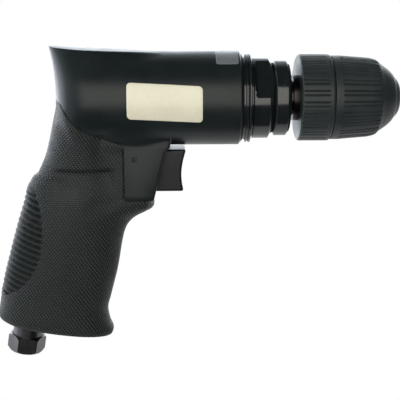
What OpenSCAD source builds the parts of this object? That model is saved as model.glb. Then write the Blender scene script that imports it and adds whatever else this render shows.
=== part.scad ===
// Air drill with a pistol grip and a keyless chuck, in millimetres.
// The origin is the middle of the chuck's mouth. +X points out of the chuck along
// the spindle, +Z is up and +Y is the tool's left side.

/* [Barrel] */
// Outer diameter of the barrel
barrel_d = 46.6; // [40:0.2:56]
// From the chuck's mouth back to the barrel's front edge
barrel_front = 79.2; // [70:0.2:90]
// From the chuck's mouth back to the hollow of the barrel's back
barrel_back = 171.4; // [150:0.2:200]
// Bevel of the barrel's front edge along the axis
barrel_bevel_l = 1.6; // [0.5:0.1:4]
// Bevel of the barrel's front edge across the axis
barrel_bevel_h = 1.8; // [0.5:0.1:2.4]
// Wall of the barrel round the motor and the ring gear
motor_wall = 5.1; // [3.5:0.1:8]
// Wall of the barrel round the gear case
case_wall = 3; // [1.5:0.1:5]
// Depth of the gear case's bore
case_bore_l = 15.8; // [10:0.1:25]
// How far the top of the back runs out behind the hollow
hood_flare = 2.7; // [0:0.1:6]
// Length of the rounding of the back in plan
hood_round_l = 21; // [10:0.5:30]
// Half width of the crowned pad on top
pad_half_w = 12; // [8:0.2:20]
// Height of the pad's crest over the axis
pad_top = 26; // [24:0.1:30]
// Radius of the pad's crown across the tool
pad_crown_r = 120; // [40:1:200]
// Length of the pad
pad_l = 59; // [40:0.5:80]

/* [Grip] */
// Drop of the grip below the axis
grip_drop = 123; // [100:0.5:140]
// How far the grip's back runs behind the barrel's hollow
grip_sweep = 34.4; // [20:0.2:45]
// Reach of the grip's finger lip in front of the barrel's hollow
grip_reach = 47.8; // [40:0.2:60]
// Half width of the palm swell
grip_half_w = 18; // [14:0.1:22]
// Thickness of the rubber
rubber_t = 2.6; // [1.5:0.1:4]
// Number of ribs on the grip's back
rib_n = 18; // [8:1:24]
// Depth of the grooves between the ribs
rib_h = 0.9; // [0.3:0.1:1.5]

/* [Trigger column] */
// How far the column's front edge, at its top, stands ahead of the grip's lip
column_lead = 6.3; // [2:0.1:10]
// From the column's front edge, at its top, back to the seam behind it
column_l = 20.9; // [16:0.1:26]
// Drop of the column's lower edge below the axis
column_drop = 49.9; // [40:0.2:60]
// Slant of the column's front edge
column_slant = 13.6; // [5:0.2:20]
// Half width of the column
column_half_w = 14.6; // [10:0.1:17]
// Corner radius of the column's front
column_corner_r = 5; // [2:0.2:8]
// Diameter of the cross pin
pin_d = 2.4; // [1.5:0.1:4]
// From the column's front edge, at its top, back to the cross pin
pin_inset = 15.5; // [12:0.1:18]
// Drop of the cross pin below the axis
pin_drop = 28.6; // [26:0.1:33]

/* [Trigger] */
// How far the trigger stands out of the column, at its top
trigger_out = 10.3; // [6:0.1:14]
// Drop of the trigger's top below the axis
trigger_top = 25; // [24:0.1:28]
// Height of the trigger
trigger_h = 21; // [16:0.2:26]
// Width of the trigger
trigger_w = 16; // [10:0.2:20]
// Hollow of the trigger's front
trigger_hollow = 2.4; // [0:0.1:4]
// Travel of the trigger
trigger_travel = 5; // [2:0.1:6]
// Drop of the throttle's axis below the spindle's axis
throttle_drop = 36; // [34:0.2:40]

/* [Chuck] */
// Largest diameter of the chuck
chuck_d = 43.2; // [36:0.2:50]
// From the mouth back to the chuck's back rim
chuck_l = 50.8; // [45:0.2:52]
// From the mouth back to the joint between the sleeves
sleeve_joint = 34.8; // [30:0.2:38]
// Largest shank that the chuck takes
shank_max = 10; // [8:0.5:13]
// Shank that the jaws stand at in this model
shank_rest = 7; // [4:0.1:8]
// Slant of the jaws to the axis
jaw_slant = 20; // [15:0.5:22]
// Diameter of a jaw
jaw_d = 6; // [5:0.1:7]
// Length of a jaw
jaw_l = 24; // [20:0.5:28]
// Diameter of the chuck's steel body
chuck_core_d = 29; // [26:0.2:32]
// Number of wide ribs on each sleeve
sleeve_rib_n = 24; // [12:1:36]
// Depth of the grooves between the ribs
sleeve_groove_h = 0.7; // [0.2:0.1:1.5]

/* [Front end] */
// Outer diameter of the bearing cap
cap_d = 38; // [34:0.2:42]
// From the mouth back to the bearing cap's front
cap_front = 55.7; // [52:0.1:60]
// Length of the bearing cap
cap_l = 8; // [6:0.1:12]
// Outer diameter of the collar with the wrench flats
collar_d = 40.6; // [36:0.2:46]
// Length of the collar
collar_l = 10.4; // [8:0.1:14]
// Distance across the wrench flats
flats_w = 34.8; // [34.6:0.2:40]
// Outer diameter of the thin flange
flange_d = 44.8; // [40:0.2:50]
// Thickness of the thin flange
flange_t = 2.9; // [1:0.1:4]
// Outer diameter of the spindle's bearings
spindle_bearing_d = 32; // [28:0.1:33]
// Bore of the spindle's bearings
spindle_d = 15; // [12:0.1:17]
// Width of the spindle's bearings
spindle_bearing_w = 9; // [7:0.1:10]

/* [Motor] */
// Length of the motor's cylinder
cylinder_l = 34; // [30:0.5:40]
// Mean wall of the motor's cylinder
cylinder_wall = 3.8; // [2.6:0.1:6]
// Offset of that bore from the rotor's axis
cylinder_offset = 1.3; // [0.8:0.05:1.6]
// Smallest gap between the rotor and the cylinder
rotor_gap = 0.3; // [0.1:0.05:0.8]
// Diameter of the rotor's shaft
rotor_shaft_d = 6; // [5:0.1:8]
// Number of vanes
vane_n = 5; // [3:1:6]
// Thickness of a vane
vane_t = 1.8; // [1.2:0.1:2.5]
// Thickness of each end plate
plate_t = 8.2; // [7:0.1:12]
// Outer diameter of the rotor's bearings
rotor_bearing_d = 19; // [16:0.1:22]
// Width of the rotor's bearings
rotor_bearing_w = 6; // [4:0.1:7]

/* [Gears] */
// Wall of the ring gear behind its teeth
ring_wall = 1.92; // [1.2:0.04:3]
// Width of the planet gears
planet_w = 9; // [6:0.2:10]
// Diameter of the planets' pins
planet_pin_d = 4; // [3:0.1:5]

/* [Air fittings] */
// Across the flats of the inlet's hexagon
inlet_hex_w = 17; // [15:0.1:22]
// Height of the inlet's hexagon
inlet_hex_h = 8.6; // [6:0.1:12]
// Diameter of the inlet's round neck
inlet_neck_d = 15.6; // [13:0.1:18]
// Length of the neck between the grip and the hexagon
inlet_neck_l = 6.6; // [2:0.1:10]
// Diameter of the inlet's stem in the handle
inlet_stem_d = 14; // [12:0.1:15]
// Length of the inlet's stem in the handle
inlet_stem_l = 13; // [8:0.2:18]
// Diameter of the inlet's threaded hole
inlet_thread_d = 11.4; // [9:0.1:12]
// Depth of the inlet's threaded hole
inlet_thread_l = 14; // [10:0.2:15]
// Slant of the inlet's axis to the vertical
inlet_slant = 9.5; // [0:0.5:20]
// From the chuck's mouth back to the inlet, where it leaves the grip
inlet_back = 190.4; // [184:0.2:194]

/* [Labels] */
// Length of the name plate
name_l = 35.8; // [20:0.2:50]
// Height of the name plate along the barrel's round
name_h = 18; // [10:0.2:25]
// From the chuck's mouth back to the middle of the name plate
name_back = 117.4; // [105:0.2:135]
// Length of the side label
side_l = 10.8; // [6:0.2:16]
// Height of the side label along the barrel's round
side_h = 16; // [6:0.2:20]
// From the chuck's mouth back to the middle of the side label
side_back = 87; // [86:0.2:100]
// Thickness of the labels
label_t = 0.2; // [0.1:0.05:0.4]

/* [Hidden] */
$fn = 64;
// Overrun of every cut past the face that it opens
over = 0.5;
// Gap between pieces that move past each other
gap = 0.3;
// Radial clearance of a shaft in its bush
run_fit = 0.05;

// Barrel
barrel_r = barrel_d / 2;
motor_r = barrel_r - motor_wall;
case_bore_r = barrel_r - case_wall;
floor_t = 14;
motor_floor = barrel_back - floor_t;
case_back = barrel_front + case_bore_l;
// Gears: teeth of the pinion on the rotor, of a planet and of the ring
sun_n = 9;
planet_n = 15;
ring_n = sun_n + 2 * planet_n;
add_share = 0.6;
ded_share = 0.85;
gear_m = (motor_r - ring_wall) / (ring_n / 2 + ded_share);
sun_r = gear_m * sun_n / 2;
planet_r = gear_m * planet_n / 2;
ring_r = gear_m * ring_n / 2;
planet_orbit = sun_r + planet_r;
thin_share = 0.84;
wide_share = 1.12;
pressure = 20;
flank_steps = 4;

// How far the moulded back stands proud of the barrel's round
hood_proud = 0.12;
hood_r = barrel_r + hood_proud;
hood_l = 33;
hood_front = barrel_back - hood_l;
hood_levels = 14;
hood_steps = 14;
hood_power_share = 0.8;
// Height of the hollow of the back, and where the pad's wall starts, as shares of the radius
hollow_share = 0.1;
shelf_share = sqrt(1 - pow(pad_half_w / barrel_r, 2));
crest_share = 1.045;
hood_low_share = -0.95;
hood_core_share = 0.3;
// Places of the pad's plan outline, as shares of its length and half width
pad_taper_shares = [[0.5, 0.985], [0.6, 0.93], [0.7, 0.83], [0.8, 0.68], [0.88, 0.5], [0.95, 0.28]];
pad_slant = 3.1;
pad_base_share = 0.45;

// Grip: each row is one section of the rubber, as shares
// [back x of the sweep, back z of the drop, front x of the reach, front z of the drop, half width,
// narrowing of the front]
grip_shares = [
  [0.00, -0.008, 0.745, 0.183, 1.23, 0.36],
  [0.023, 0.041, 0.787, 0.220, 1.15, 0.33],
  [0.076, 0.106, 0.810, 0.276, 1.05, 0.27],
  [0.137, 0.179, 0.830, 0.341, 0.98, 0.22],
  [0.195, 0.232, 0.900, 0.398, 0.95, 0.2],
  [0.257, 0.271, 0.996, 0.423, 0.94, 0.2],
  [0.312, 0.302, 0.996, 0.447, 0.95, 0.2],
  [0.382, 0.335, 0.925, 0.466, 0.965, 0.2],
  [0.449, 0.367, 0.808, 0.490, 0.985, 0.18],
  [0.500, 0.401, 0.730, 0.518, 1.0, 0.16],
  [0.548, 0.436, 0.682, 0.555, 1.01, 0.15],
  [0.630, 0.504, 0.646, 0.614, 1.017, 0.14],
  [0.706, 0.573, 0.621, 0.671, 1.01, 0.13],
  [0.778, 0.644, 0.592, 0.728, 1.0, 0.12],
  [0.854, 0.717, 0.554, 0.785, 0.99, 0.1],
  [0.918, 0.793, 0.515, 0.842, 0.978, 0.08],
  [0.971, 0.870, 0.479, 0.898, 0.967, 0.06],
  [1.000, 0.914, 0.498, 0.953, 0.956, 0.05],
  [0.985, 0.936, 0.534, 0.990, 0.92, 0.05],
  [0.935, 0.948, 0.523, 1.009, 0.86, 0.05]
];
grip_last = len(grip_shares) - 1;
grip_sides = 28;
grip_power_share = 0.82;
// How far the handle's core runs up into the barrel, towards the barrel's axis
core_rise_share = 0.35;
// Rows between which the ribs lie, and how far they reach round the grip
rib_first = 9;
rib_last = 15.5;
rib_reach_share = 0.55;
rib_power_share = 0.85;

// Trigger column and trigger: places back from the chuck's mouth
column_front = barrel_back - grip_reach - column_lead;
column_seam = column_front + column_l;
pin_back = column_front + pin_inset;
trigger_front = column_front - trigger_out;
column_top_share = 0.6;
pocket_gap = gap;
trigger_seat = 3;
tongue_half_w = 4;
tongue_half_h = 3;
tongue_tail = 3.4;
slot_gap = 0.3;
hollow_steps = 10;
hollow_end_share = 0.82;

// Throttle valve
bushing_d = 13.6;
bushing_inset = 24.7;
bushing_tail = 2.6;
bushing_front = column_front + bushing_inset;
bushing_back = barrel_back + bushing_tail;
bushing_floor_t = 2;
guide_l = 4;
front_chamber_l = 6.4;
front_chamber_d = 8.4;
stem_d = 3.8;
chamber_d = 9.6;
seal_t = 2;
poppet_d = 8.4;
poppet_t = 2.4;
port_d = 5;
spring_wire_d = 0.9;
spring_d = 7;
spring_turns = 5;
spring_rings = 8;
spring_sides = 6;

// Reversing valve and lever
spool_back = bushing_front + guide_l + front_chamber_l / 2;
spool_drop = 25.1;
spool_d = 6.8;
spool_right = 12;
lever_seat = 20.2;
lever_t = 2.2;
lever_hub_d = 11;
lever_l = 15;
lever_tip_d = 6;
lever_window_d = 8.4;
lever_screw_d = 5;
lever_screw_t = 0.8;
spool_screw_d = 2.6;
spool_screw_l = 7;

// Air paths
feed_d = 6;
supply_d = 6;
supply_lead = 1.6;
supply_top_back = bushing_back + supply_lead;
exhaust_d = 4.8;
exhaust_y = 10.2;
exhaust_top_back = 146;
exhaust_top_drop = 13;
exhaust_foot_back = 163;
exhaust_foot_drop = 100;

// Silencer and its plate, in the frame of the grip's lower face
silencer_l = 17;
silencer_w = 15;
silencer_h = 17;
plate_cover_t = 2.4;
plate_rim = 4.5;
plate_slot_n = 4;
plate_slot_w = 1.6;
plate_slot_l = 9;
plate_screw_d = 2.5;
plate_screw_l = 8;
plate_screw_head_d = 4;
plate_screw_head_t = 1.2;

// Chuck
chuck_r = chuck_d / 2;
mouth_gap = 0.4;
mouth_r = shank_max / 2 + mouth_gap;
mouth_depth = 32;
nose_l = 2.3;
nose_r = 9.2;
nose_face_r = 7.3;
nut_front = 12.1;
nut_l = 5.4;
nut_r = 16.4;
nut_gap = 0.25;
groove_r = 11;
core_r = chuck_core_d / 2;
disc_r = 11.3;
disc_l = 2.8;
hub_r = 8.5;
spindle_thread_d = 9.5;
spindle_thread_l = 18;
screw_head_d = 8.6;
screw_head_t = 3.4;
chuck_screw_d = 5;
chuck_screw_l = 12;
jaw_front = 0;
jaw_axis_rise = 0.4;
jaw_axis_r = shank_rest / 2 + jaw_axis_rise;
jaw_tip_rise = 1.3;
wedge_half = 60;
sleeve_nose_back = 2.5;
sleeve_gap = 0.3;
// Outline of the front sleeve, as shares of [distance to the joint, largest radius]
front_sleeve_shares = [
  [0.072, 0.50], [0.111, 0.585], [0.17, 0.668], [0.228, 0.735], [0.287, 0.80], [0.33, 0.862],
  [0.355, 0.884], [0.40, 0.903], [0.46, 0.919], [0.88, 0.972]
];
sleeve_wall = 4.6;
flange_in_l = 4;
rear_rim_bevel = 0.6;
rib_groove_w = 1.0;
rib_pitch_share = 0.62;
rear_rib_l = 13.2;
front_rib_back = 29.5;
front_rib_front = 11;

// Front end
cap_r = cap_d / 2;
cap_back = cap_front + cap_l;
cap_wall = 2.5;
cap_bevel = 1.5;
cap_back_bevel = 0.9;
seal_wall = 1.6;
collar_r = collar_d / 2;
cap_seam = 0.1;
collar_front = cap_back + cap_seam;
collar_back = collar_front + collar_l;
collar_bevel_l = 2.4;
case_nose_r = 17.3;
collar_groove_l = 1;
collar_groove_r = 19.5;
barrel_groove_r = 21.2;
flange_front = collar_back + collar_groove_l;
flange_back = flange_front + flange_t;
case_lip_r = 13.4;
flat_stop = 1.4;
flat_turn = 37;
spindle_r = spindle_d / 2;
spindle_bearing_r = spindle_bearing_d / 2;
race_t = 2.4;
spindle_ball_d = 3.6;
spindle_ball_n = 11;
front_bearing_front = cap_front + cap_wall + gap;
front_bearing_back = front_bearing_front + spindle_bearing_w;
planet_gap = 1.4;
carrier_gap = 0.6;
carrier_t = 5.5;
carrier_rim = 3.3;
carrier_r = planet_orbit + planet_pin_d / 2 + carrier_rim;
carrier_clear = 0.4;
carrier_room_r = max(spindle_bearing_r, carrier_r + carrier_clear);
shoulder_t = 0.5;
shoulder_r = 9.6;
ring_back = motor_floor - 2 * plate_t - cylinder_l;
planet_back = ring_back - planet_gap;
carrier_back = planet_back - planet_w - carrier_gap;
shoulder_front = carrier_back - carrier_t - shoulder_t;
rear_bearing_front = shoulder_front - spindle_bearing_w;
spacer_r = 9.4;
spindle_tap_d = 5;
spindle_tap_l = 20;

// Motor
cylinder_back = motor_floor - plate_t;
cylinder_front = cylinder_back - cylinder_l;
plate_bore_d = rotor_shaft_d + 2 * gap;
cylinder_bore_r = motor_r - cylinder_wall;
rotor_r = cylinder_bore_r - cylinder_offset - rotor_gap;
rotor_shaft_r = rotor_shaft_d / 2;
rotor_bearing_r = rotor_bearing_d / 2;
rotor_race_t = 1.6;
rotor_ball_d = 3.2;
rotor_ball_n = 8;
vane_h = 6;
vane_gap = 0.1;
vane_rest_gap = 0.1;
port_slot_w = 5;
port_turn = 60;
port_slot_l = 20;
dowel_d = 3;
dowel_wall = 0.5;
dowel_r = motor_r - dowel_d / 2 - dowel_wall;
dowel_l = 12;
pinion_l = 10;

// Inlet
screen_t = 1.2;
screen_mesh = 1.6;
screen_hole_share = 0.34;
hex_bevel = 1.2;
hex_turn = 10;
hex_corner_r = inlet_hex_w / 2 / cos(30);

// Labels
name_rise = 0.6;
side_rise = 70;

function lerp(a, b, t) = a + (b - a) * t;
function mix_rows(t) =
  let(i = min(floor(t), grip_last - 1))
  [for (k = [0:5]) lerp(grip_shares[i][k], grip_shares[i + 1][k], t - i)];
function back_pt(r) = [-barrel_back - r[0] * grip_sweep, -r[1] * grip_drop];
function front_pt(r) = [-barrel_back + r[2] * grip_reach, -r[3] * grip_drop];
function spow(v, p) = sign(v) * pow(abs(v), p);
// How far the ribs reach round the grip at row t, from 0 at both ends
function rib_zone(t) =
  (t <= rib_first || t >= rib_last) ? 0
  : rib_reach_share * sqrt(sin(180 * pow((t - rib_first) / (rib_last - rib_first), rib_power_share)));
// One section of the grip, drawn in by inset, with a groove of depth cut in the ribbed zone
function grip_ring(t, inset, cut) =
  let(
    r = mix_rows(t),
    p = back_pt(r),
    q = front_pt(r),
    d = q - p,
    n = norm(d),
    u = d / n,
    m = (p + q) / 2,
    h = n / 2 - inset,
    w = r[4] * grip_half_w - inset,
    z = -1 + rib_zone(t)
  )
  [for (k = [0:grip_sides - 1])
    let(
      a = 360 * k / grip_sides,
      c = spow(cos(a), grip_power_share),
      s = spow(sin(a), grip_power_share),
      g = cut * ((c < z) ? 1 : 0),
      f = 1 - g / h
    )
    [m[0] + u[0] * h * c * f, w * s * f * (1 - r[5] * max(c, 0)), m[1] + u[1] * h * c * f]];
// Triangles between the rings that start at a and b, each four-sided patch cut along either diagonal
function ring_faces(a, b, n, turn) =
  [for (k = [0:n - 1])
    let(j = (k + 1) % n)
    each turn ? [[a + k, a + j, b + k], [a + j, b + j, b + k]] : [[a + k, a + j, b + j], [a + k, b + j, b + k]]];
function fan(a, n, up) = [for (k = [1:n - 2]) up ? [a, a + k, a + k + 1] : [a, a + k + 1, a + k]];
// A solid through rings of n points each
module loft(rings) {
  n = len(rings[0]);
  m = len(rings);
  polyhedron(
    points = [for (r = rings) each r],
    faces = concat(
      [for (i = [0:m - 2]) each ring_faces(i * n, (i + 1) * n, n, false)],
      fan(0, n, false),
      fan((m - 1) * n, n, true)
    )
  );
}
// A shell through rings of n points each, down the outside and back up the inside
module shell(outer, inner) {
  rings = concat(outer, inner);
  n = len(rings[0]);
  m = len(rings);
  polyhedron(
    points = [for (r = rings) each r],
    faces = [for (i = [0:m - 1])
      each ring_faces(i * n, ((i + 1) % m) * n, n, i >= len(outer) && i < m - 1)]
  );
}
// Turns a shape made along Z so that it lies along X, starting back from the mouth
module along(back) {
  translate([-back, 0, 0]) rotate([0, 90, 0]) children();
}
// A round bar along X between two distances back from the mouth
module bar(back, front, r) {
  along(back) cylinder(h = back - front, r = r);
}
// A shape turned round X, from points [distance back from the mouth, radius]
module turned(pts) {
  rotate([0, 90, 0]) rotate_extrude() polygon([for (p = pts) [p[1], -p[0]]]);
}
module tube(back, front, r_out, r_in) {
  difference() {
    bar(back, front, r_out);
    bar(back + over, front - over, r_in);
  }
}
// A round bar between two points
module rod(p, q, r) {
  d = q - p;
  translate(p)
    rotate([0, acos(d[2] / norm(d)), atan2(d[1], d[0])])
      cylinder(h = norm(d), r = r);
}
// A flat shape drawn as [x, z], as wide as w across the tool
module side_slab(pts, w) {
  translate([0, w / 2, 0]) rotate([90, 0, 0]) linear_extrude(height = w) polygon(pts);
}

// Gear teeth
function inv(a) = tan(a) * 180 / PI - a;
function flank(r, z, half) =
  let(rb = gear_m * z / 2 * cos(pressure))
  half + inv(pressure) - inv(acos(min(1, rb / max(r, rb))));
function gear_pts(z, root, tip, half) =
  [for (i = [0:z - 1], s = [-1, 1], j = [0:flank_steps])
    let(
      r = s < 0 ? lerp(root, tip, j / flank_steps) : lerp(tip, root, j / flank_steps),
      a = 360 * i / z + s * flank(r, z, half)
    )
    [r * cos(a), r * sin(a)]];
module gear(z, half_share) {
  r = gear_m * z / 2;
  polygon(gear_pts(z, r - ded_share * gear_m, r + add_share * gear_m, 90 / z * half_share));
}

// Outline of the moulded back at one height
function hood_back(z) =
  barrel_back + hood_flare * pow((z - hollow_share * barrel_r) / (barrel_r * (crest_share - hollow_share)), 2);
function hood_half(z, r) =
  let(s = shelf_share * barrel_r)
  z <= s ? sqrt(r * r - z * z) : pad_half_w;
// One level of the back, drawn in by inset
function hood_ring(z, inset) =
  let(
    b = hood_back(z) - inset,
    w = hood_half(z, hood_r - inset),
    f = z <= shelf_share * barrel_r ? hood_front : barrel_back - hood_round_l - over
  )
  concat(
    [for (k = [0:hood_steps])
      let(a = -90 + 180 * k / hood_steps)
      [-b + hood_round_l * (1 - pow(cos(a), hood_power_share)), w * spow(sin(a), hood_power_share), z]],
    [[-f, w, z], [-f, -w, z]]
  );
module hood() {
  low = hood_low_share;
  top = crest_share;
  loft([for (k = [0:hood_levels]) hood_ring(barrel_r * lerp(low, top, k / hood_levels), 0)]);
}
// What lies under the rubber at the barrel's back
module hood_core() {
  low = hood_low_share;
  top = hood_core_share;
  r = hood_r - rubber_t;
  loft([for (k = [0:hood_levels]) hood_ring(r * lerp(low, top, k / hood_levels), rubber_t)]);
}
module pad() {
  b = barrel_back + hood_flare;
  intersection() {
    linear_extrude(height = pad_top)
      polygon(concat(
        [for (k = [0:hood_steps])
          let(a = -90 + 180 * k / hood_steps)
          [-b + hood_round_l * (1 - pow(cos(a), hood_power_share)), pad_half_w * spow(sin(a), hood_power_share)]],
        [for (p = pad_taper_shares) [-b + p[0] * pad_l, p[1] * pad_half_w]],
        [[-b + pad_l, 0]],
        [for (k = [1:len(pad_taper_shares)])
          let(p = pad_taper_shares[len(pad_taper_shares) - k])
          [-b + p[0] * pad_l, -p[1] * pad_half_w]]
      ));
    translate([-b, 0, pad_top - pad_crown_r])
      rotate([0, 90 + pad_slant, 0])
        translate([0, 0, -pad_l / 2])
          cylinder(h = 2 * pad_l, r = pad_crown_r);
    union() {
      translate([-b - over, -pad_half_w - over, crest_share * barrel_r - hood_flare])
        cube([pad_l + 2 * over, 2 * (pad_half_w + over), pad_top]);
      translate([-barrel_back + hood_round_l - over, -pad_half_w - over, pad_base_share * barrel_r])
        cube([pad_l, 2 * (pad_half_w + over), pad_top]);
    }
  }
}
// Everything below the rubber's top seam, behind the column
module below_seam() {
  p = back_pt(grip_shares[0]);
  q = front_pt(grip_shares[0]);
  g = (q[1] - p[1]) / (q[0] - p[0]);
  b = -barrel_back - hood_round_l;
  side_slab([
    [b, p[1] + g * (b - p[0])],
    [-column_seam, p[1] + g * (-column_seam - p[0])],
    [-column_seam, -grip_drop / 2],
    [b, -grip_drop / 2]
  ], 3 * barrel_d);
}
module handle_core() {
  upper = grip_ring(0, rubber_t, 0);
  c = [-(barrel_back + column_seam) / 2, 0, 0];
  loft(concat(
    [[for (v = upper) lerp(v, c, core_rise_share)]],
    [for (i = [0:grip_last]) grip_ring(i, rubber_t, 0)]
  ));
}
// Outline of the column seen from the side
function slant_x(drop) = -column_front - (drop - trigger_top) * tan(column_slant);
module column() {
  intersection() {
    side_slab([
      [-column_seam, -column_top_share * barrel_r],
      [-column_seam, -column_drop],
      [slant_x(column_drop), -column_drop],
      [slant_x(column_top_share * barrel_r), -column_top_share * barrel_r]
    ], 2 * column_half_w);
    translate([-column_front, 0, -trigger_top])
      rotate([0, column_slant, 0])
        translate([0, 0, -2 * column_drop])
          linear_extrude(height = 4 * column_drop) {
            translate([-column_drop, -column_half_w])
              square([column_drop - column_corner_r, 2 * column_half_w]);
            translate([-column_drop, -column_half_w + column_corner_r])
              square([column_drop, 2 * (column_half_w - column_corner_r)]);
            for (s = [-1, 1])
              translate([-column_corner_r, s * (column_half_w - column_corner_r)])
                circle(r = column_corner_r);
          }
  }
}
// The frame of the grip's lower face: its middle, with +X towards its front edge
module foot_frame() {
  p = back_pt(grip_shares[grip_last]);
  q = front_pt(grip_shares[grip_last]);
  m = (p + q) / 2;
  translate([m[0], 0, m[1]]) rotate([0, atan2(p[1] - q[1], q[0] - p[0]), 0]) children();
}
function foot_z(x) =
  let(p = back_pt(grip_shares[grip_last]), q = front_pt(grip_shares[grip_last]))
  lerp(p[1], q[1], (x - p[0]) / (q[0] - p[0]));
// The inlet's frame: its axis, with +Z up into the handle from the grip's lower face
module inlet_frame() {
  translate([-inlet_back, 0, foot_z(-inlet_back)]) rotate([0, inlet_slant, 0]) children();
}
function inlet_top() =
  [-inlet_back + inlet_stem_l * sin(inlet_slant), 0, foot_z(-inlet_back) + inlet_stem_l * cos(inlet_slant)];
module air_paths() {
  rod(inlet_top() - [0, 0, supply_d / 2], [-supply_top_back, 0, -throttle_drop], supply_d / 2);
  translate([-spool_back, 0, -throttle_drop]) cylinder(h = throttle_drop - motor_r + over, r = feed_d / 2);
  for (s = [-1, 1])
    rod([-exhaust_top_back, s * exhaust_y, -exhaust_top_drop],
        [-exhaust_foot_back, s * exhaust_y, -exhaust_foot_drop], exhaust_d / 2);
  inlet_frame() translate([0, 0, -over]) cylinder(h = inlet_stem_l + over, r = inlet_stem_d / 2);
  foot_frame() {
    translate([0, -silencer_w / 2, 0])
      cube([silencer_l, silencer_w, silencer_h + plate_cover_t]);
    translate([-plate_rim, -silencer_w / 2, -over])
      cube([silencer_l + 2 * plate_rim, silencer_w, plate_cover_t + over]);
    for (x = plate_screw_places())
      translate([x, 0, 0]) cylinder(h = plate_screw_l, r = plate_screw_d / 2);
  }
}
function plate_screw_places() = [-plate_rim / 2, silencer_l + plate_rim / 2];
// Room for the trigger, with clearance g all round
module trigger_room(g) {
  b = trigger_seat + trigger_travel + g;
  z0 = trigger_top - g;
  z1 = trigger_top + trigger_h + g;
  side_slab([
    [slant_x(z0) - b, -z0],
    [slant_x(z1) - b, -z1],
    [slant_x(z1) + b, -z1],
    [slant_x(z0) + b, -z0]
  ], trigger_w + 2 * g);
  translate([-pin_back - tongue_tail - trigger_travel - g, -tongue_half_w - g, -pin_drop - tongue_half_h - g])
    cube([pin_back - column_front + tongue_tail, 2 * (tongue_half_w + g), 2 * (tongue_half_h + g)]);
}
module housing() {
  color([0.07, 0.07, 0.08])
    difference() {
      union() {
        difference() {
          union() {
            turned([
              [hood_front + hood_round_l / 2, 0],
              [hood_front + hood_round_l / 2, barrel_r],
              [barrel_front + barrel_bevel_l, barrel_r],
              [barrel_front, barrel_r - barrel_bevel_h],
              [barrel_front, 0]
            ]);
            hood();
            pad();
          }
          below_seam();
        }
        hood_core();
        handle_core();
        column();
      }
      bar(motor_floor, case_back, motor_r);
      bar(case_back, barrel_front - over, case_bore_r);
      bar_at(bushing_back, column_front, bushing_d / 2, throttle_drop);
      trigger_room(pocket_gap);
      translate([-pin_back, 0, -pin_drop]) cross(2 * column_half_w + 2 * over, pin_d / 2);
      translate([-spool_back, -spool_right, -spool_drop])
        rotate([-90, 0, 0]) cylinder(h = spool_right + 2 * barrel_r, r = spool_d / 2 + run_fit);
      air_paths();
    }
}
// A round bar across the tool
module cross(l, r) {
  rotate([90, 0, 0]) cylinder(h = l, r = r, center = true);
}
module bar_at(back, front, r, drop) {
  translate([0, 0, -drop]) bar(back, front, r);
}
rib_rows = [for (i = [0:2 * rib_n]) rib_first + (rib_last - rib_first) * i / (2 * rib_n)];
module grip_sleeve() {
  outer = concat(
    [for (i = [0:rib_first - 1]) grip_ring(i, 0, 0)],
    [for (i = [0:2 * rib_n]) grip_ring(rib_rows[i], 0, i % 2 == 1 ? rib_h : 0)],
    [for (i = [ceil(rib_last):grip_last]) grip_ring(i, 0, 0)]
  );
  inner = [for (i = [0:grip_last]) grip_ring(grip_last - i, rubber_t, 0)];
  color([0.1, 0.1, 0.11])
    difference() {
      shell(outer, inner);
      hood_core();
      column();
      translate([-spool_back, 0, -spool_drop])
        rotate([-90, 0, 0]) cylinder(h = 2 * barrel_r, r = lever_window_d / 2);
    }
}
// A sticker that follows the barrel's round
module sticker(back, rise, l, h) {
  a = h / barrel_r * 180 / PI;
  translate([-back, 0, 0])
    rotate([90 - rise, 0, 0])
      rotate([0, 90, 0])
        rotate([0, 0, 180 - a / 2])
          translate([0, 0, -l / 2])
            rotate_extrude(angle = a)
              translate([barrel_r, 0]) square([label_t, l]);
}
module name_plate() {
  color([0.9, 0.88, 0.82]) sticker(name_back, name_rise, name_l, name_h);
}
module side_label() {
  color([0.75, 0.76, 0.77]) sticker(side_back, side_rise, side_l, side_h);
}

// Front end
module gear_case() {
  color([0.06, 0.06, 0.07])
    difference() {
      turned([
        [front_bearing_front, 0],
        [front_bearing_front, case_nose_r],
        [collar_front, case_nose_r],
        [collar_front + collar_bevel_l, collar_r],
        [collar_back, collar_r],
        [collar_back, collar_groove_r],
        [flange_front, collar_groove_r],
        [flange_front, flange_d / 2],
        [flange_back, flange_d / 2],
        [flange_back, barrel_groove_r],
        [barrel_front, barrel_groove_r],
        [barrel_front, case_bore_r],
        [case_back, case_bore_r],
        [case_back, 0]
      ]);
      bar(front_bearing_back, front_bearing_front - over, spindle_bearing_r);
      bar(case_back + over, rear_bearing_front, spindle_bearing_r);
      bar(case_back + over, shoulder_front, carrier_room_r);
      bar(case_back, front_bearing_front, case_lip_r);
      for (s = [0, 180])
        rotate([s - flat_turn, 0, 0])
          translate([-collar_back + flat_stop, -flats_w / 2 - collar_r, -collar_r])
            cube([collar_l, collar_r, collar_d]);
    }
}
module bearing_cap() {
  color([0.06, 0.06, 0.07])
    turned([
      [cap_front, hub_r + seal_wall],
      [cap_front, cap_r - cap_bevel],
      [cap_front + cap_bevel, cap_r],
      [cap_back - cap_back_bevel, cap_r],
      [cap_back, cap_r - cap_back_bevel],
      [cap_back, case_nose_r],
      [cap_front + cap_wall, case_nose_r],
      [cap_front + cap_wall, hub_r + seal_wall]
    ]);
}
module shaft_seal() {
  color([0.2, 0.2, 0.2]) tube(cap_front + cap_wall, cap_front, hub_r + seal_wall, hub_r + run_fit);
}
module ball_row(back, front, pitch_r, d, n) {
  for (i = [0:n - 1])
    rotate([360 * i / n, 0, 0]) translate([-(back + front) / 2, 0, pitch_r]) sphere(d = d);
}
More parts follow.
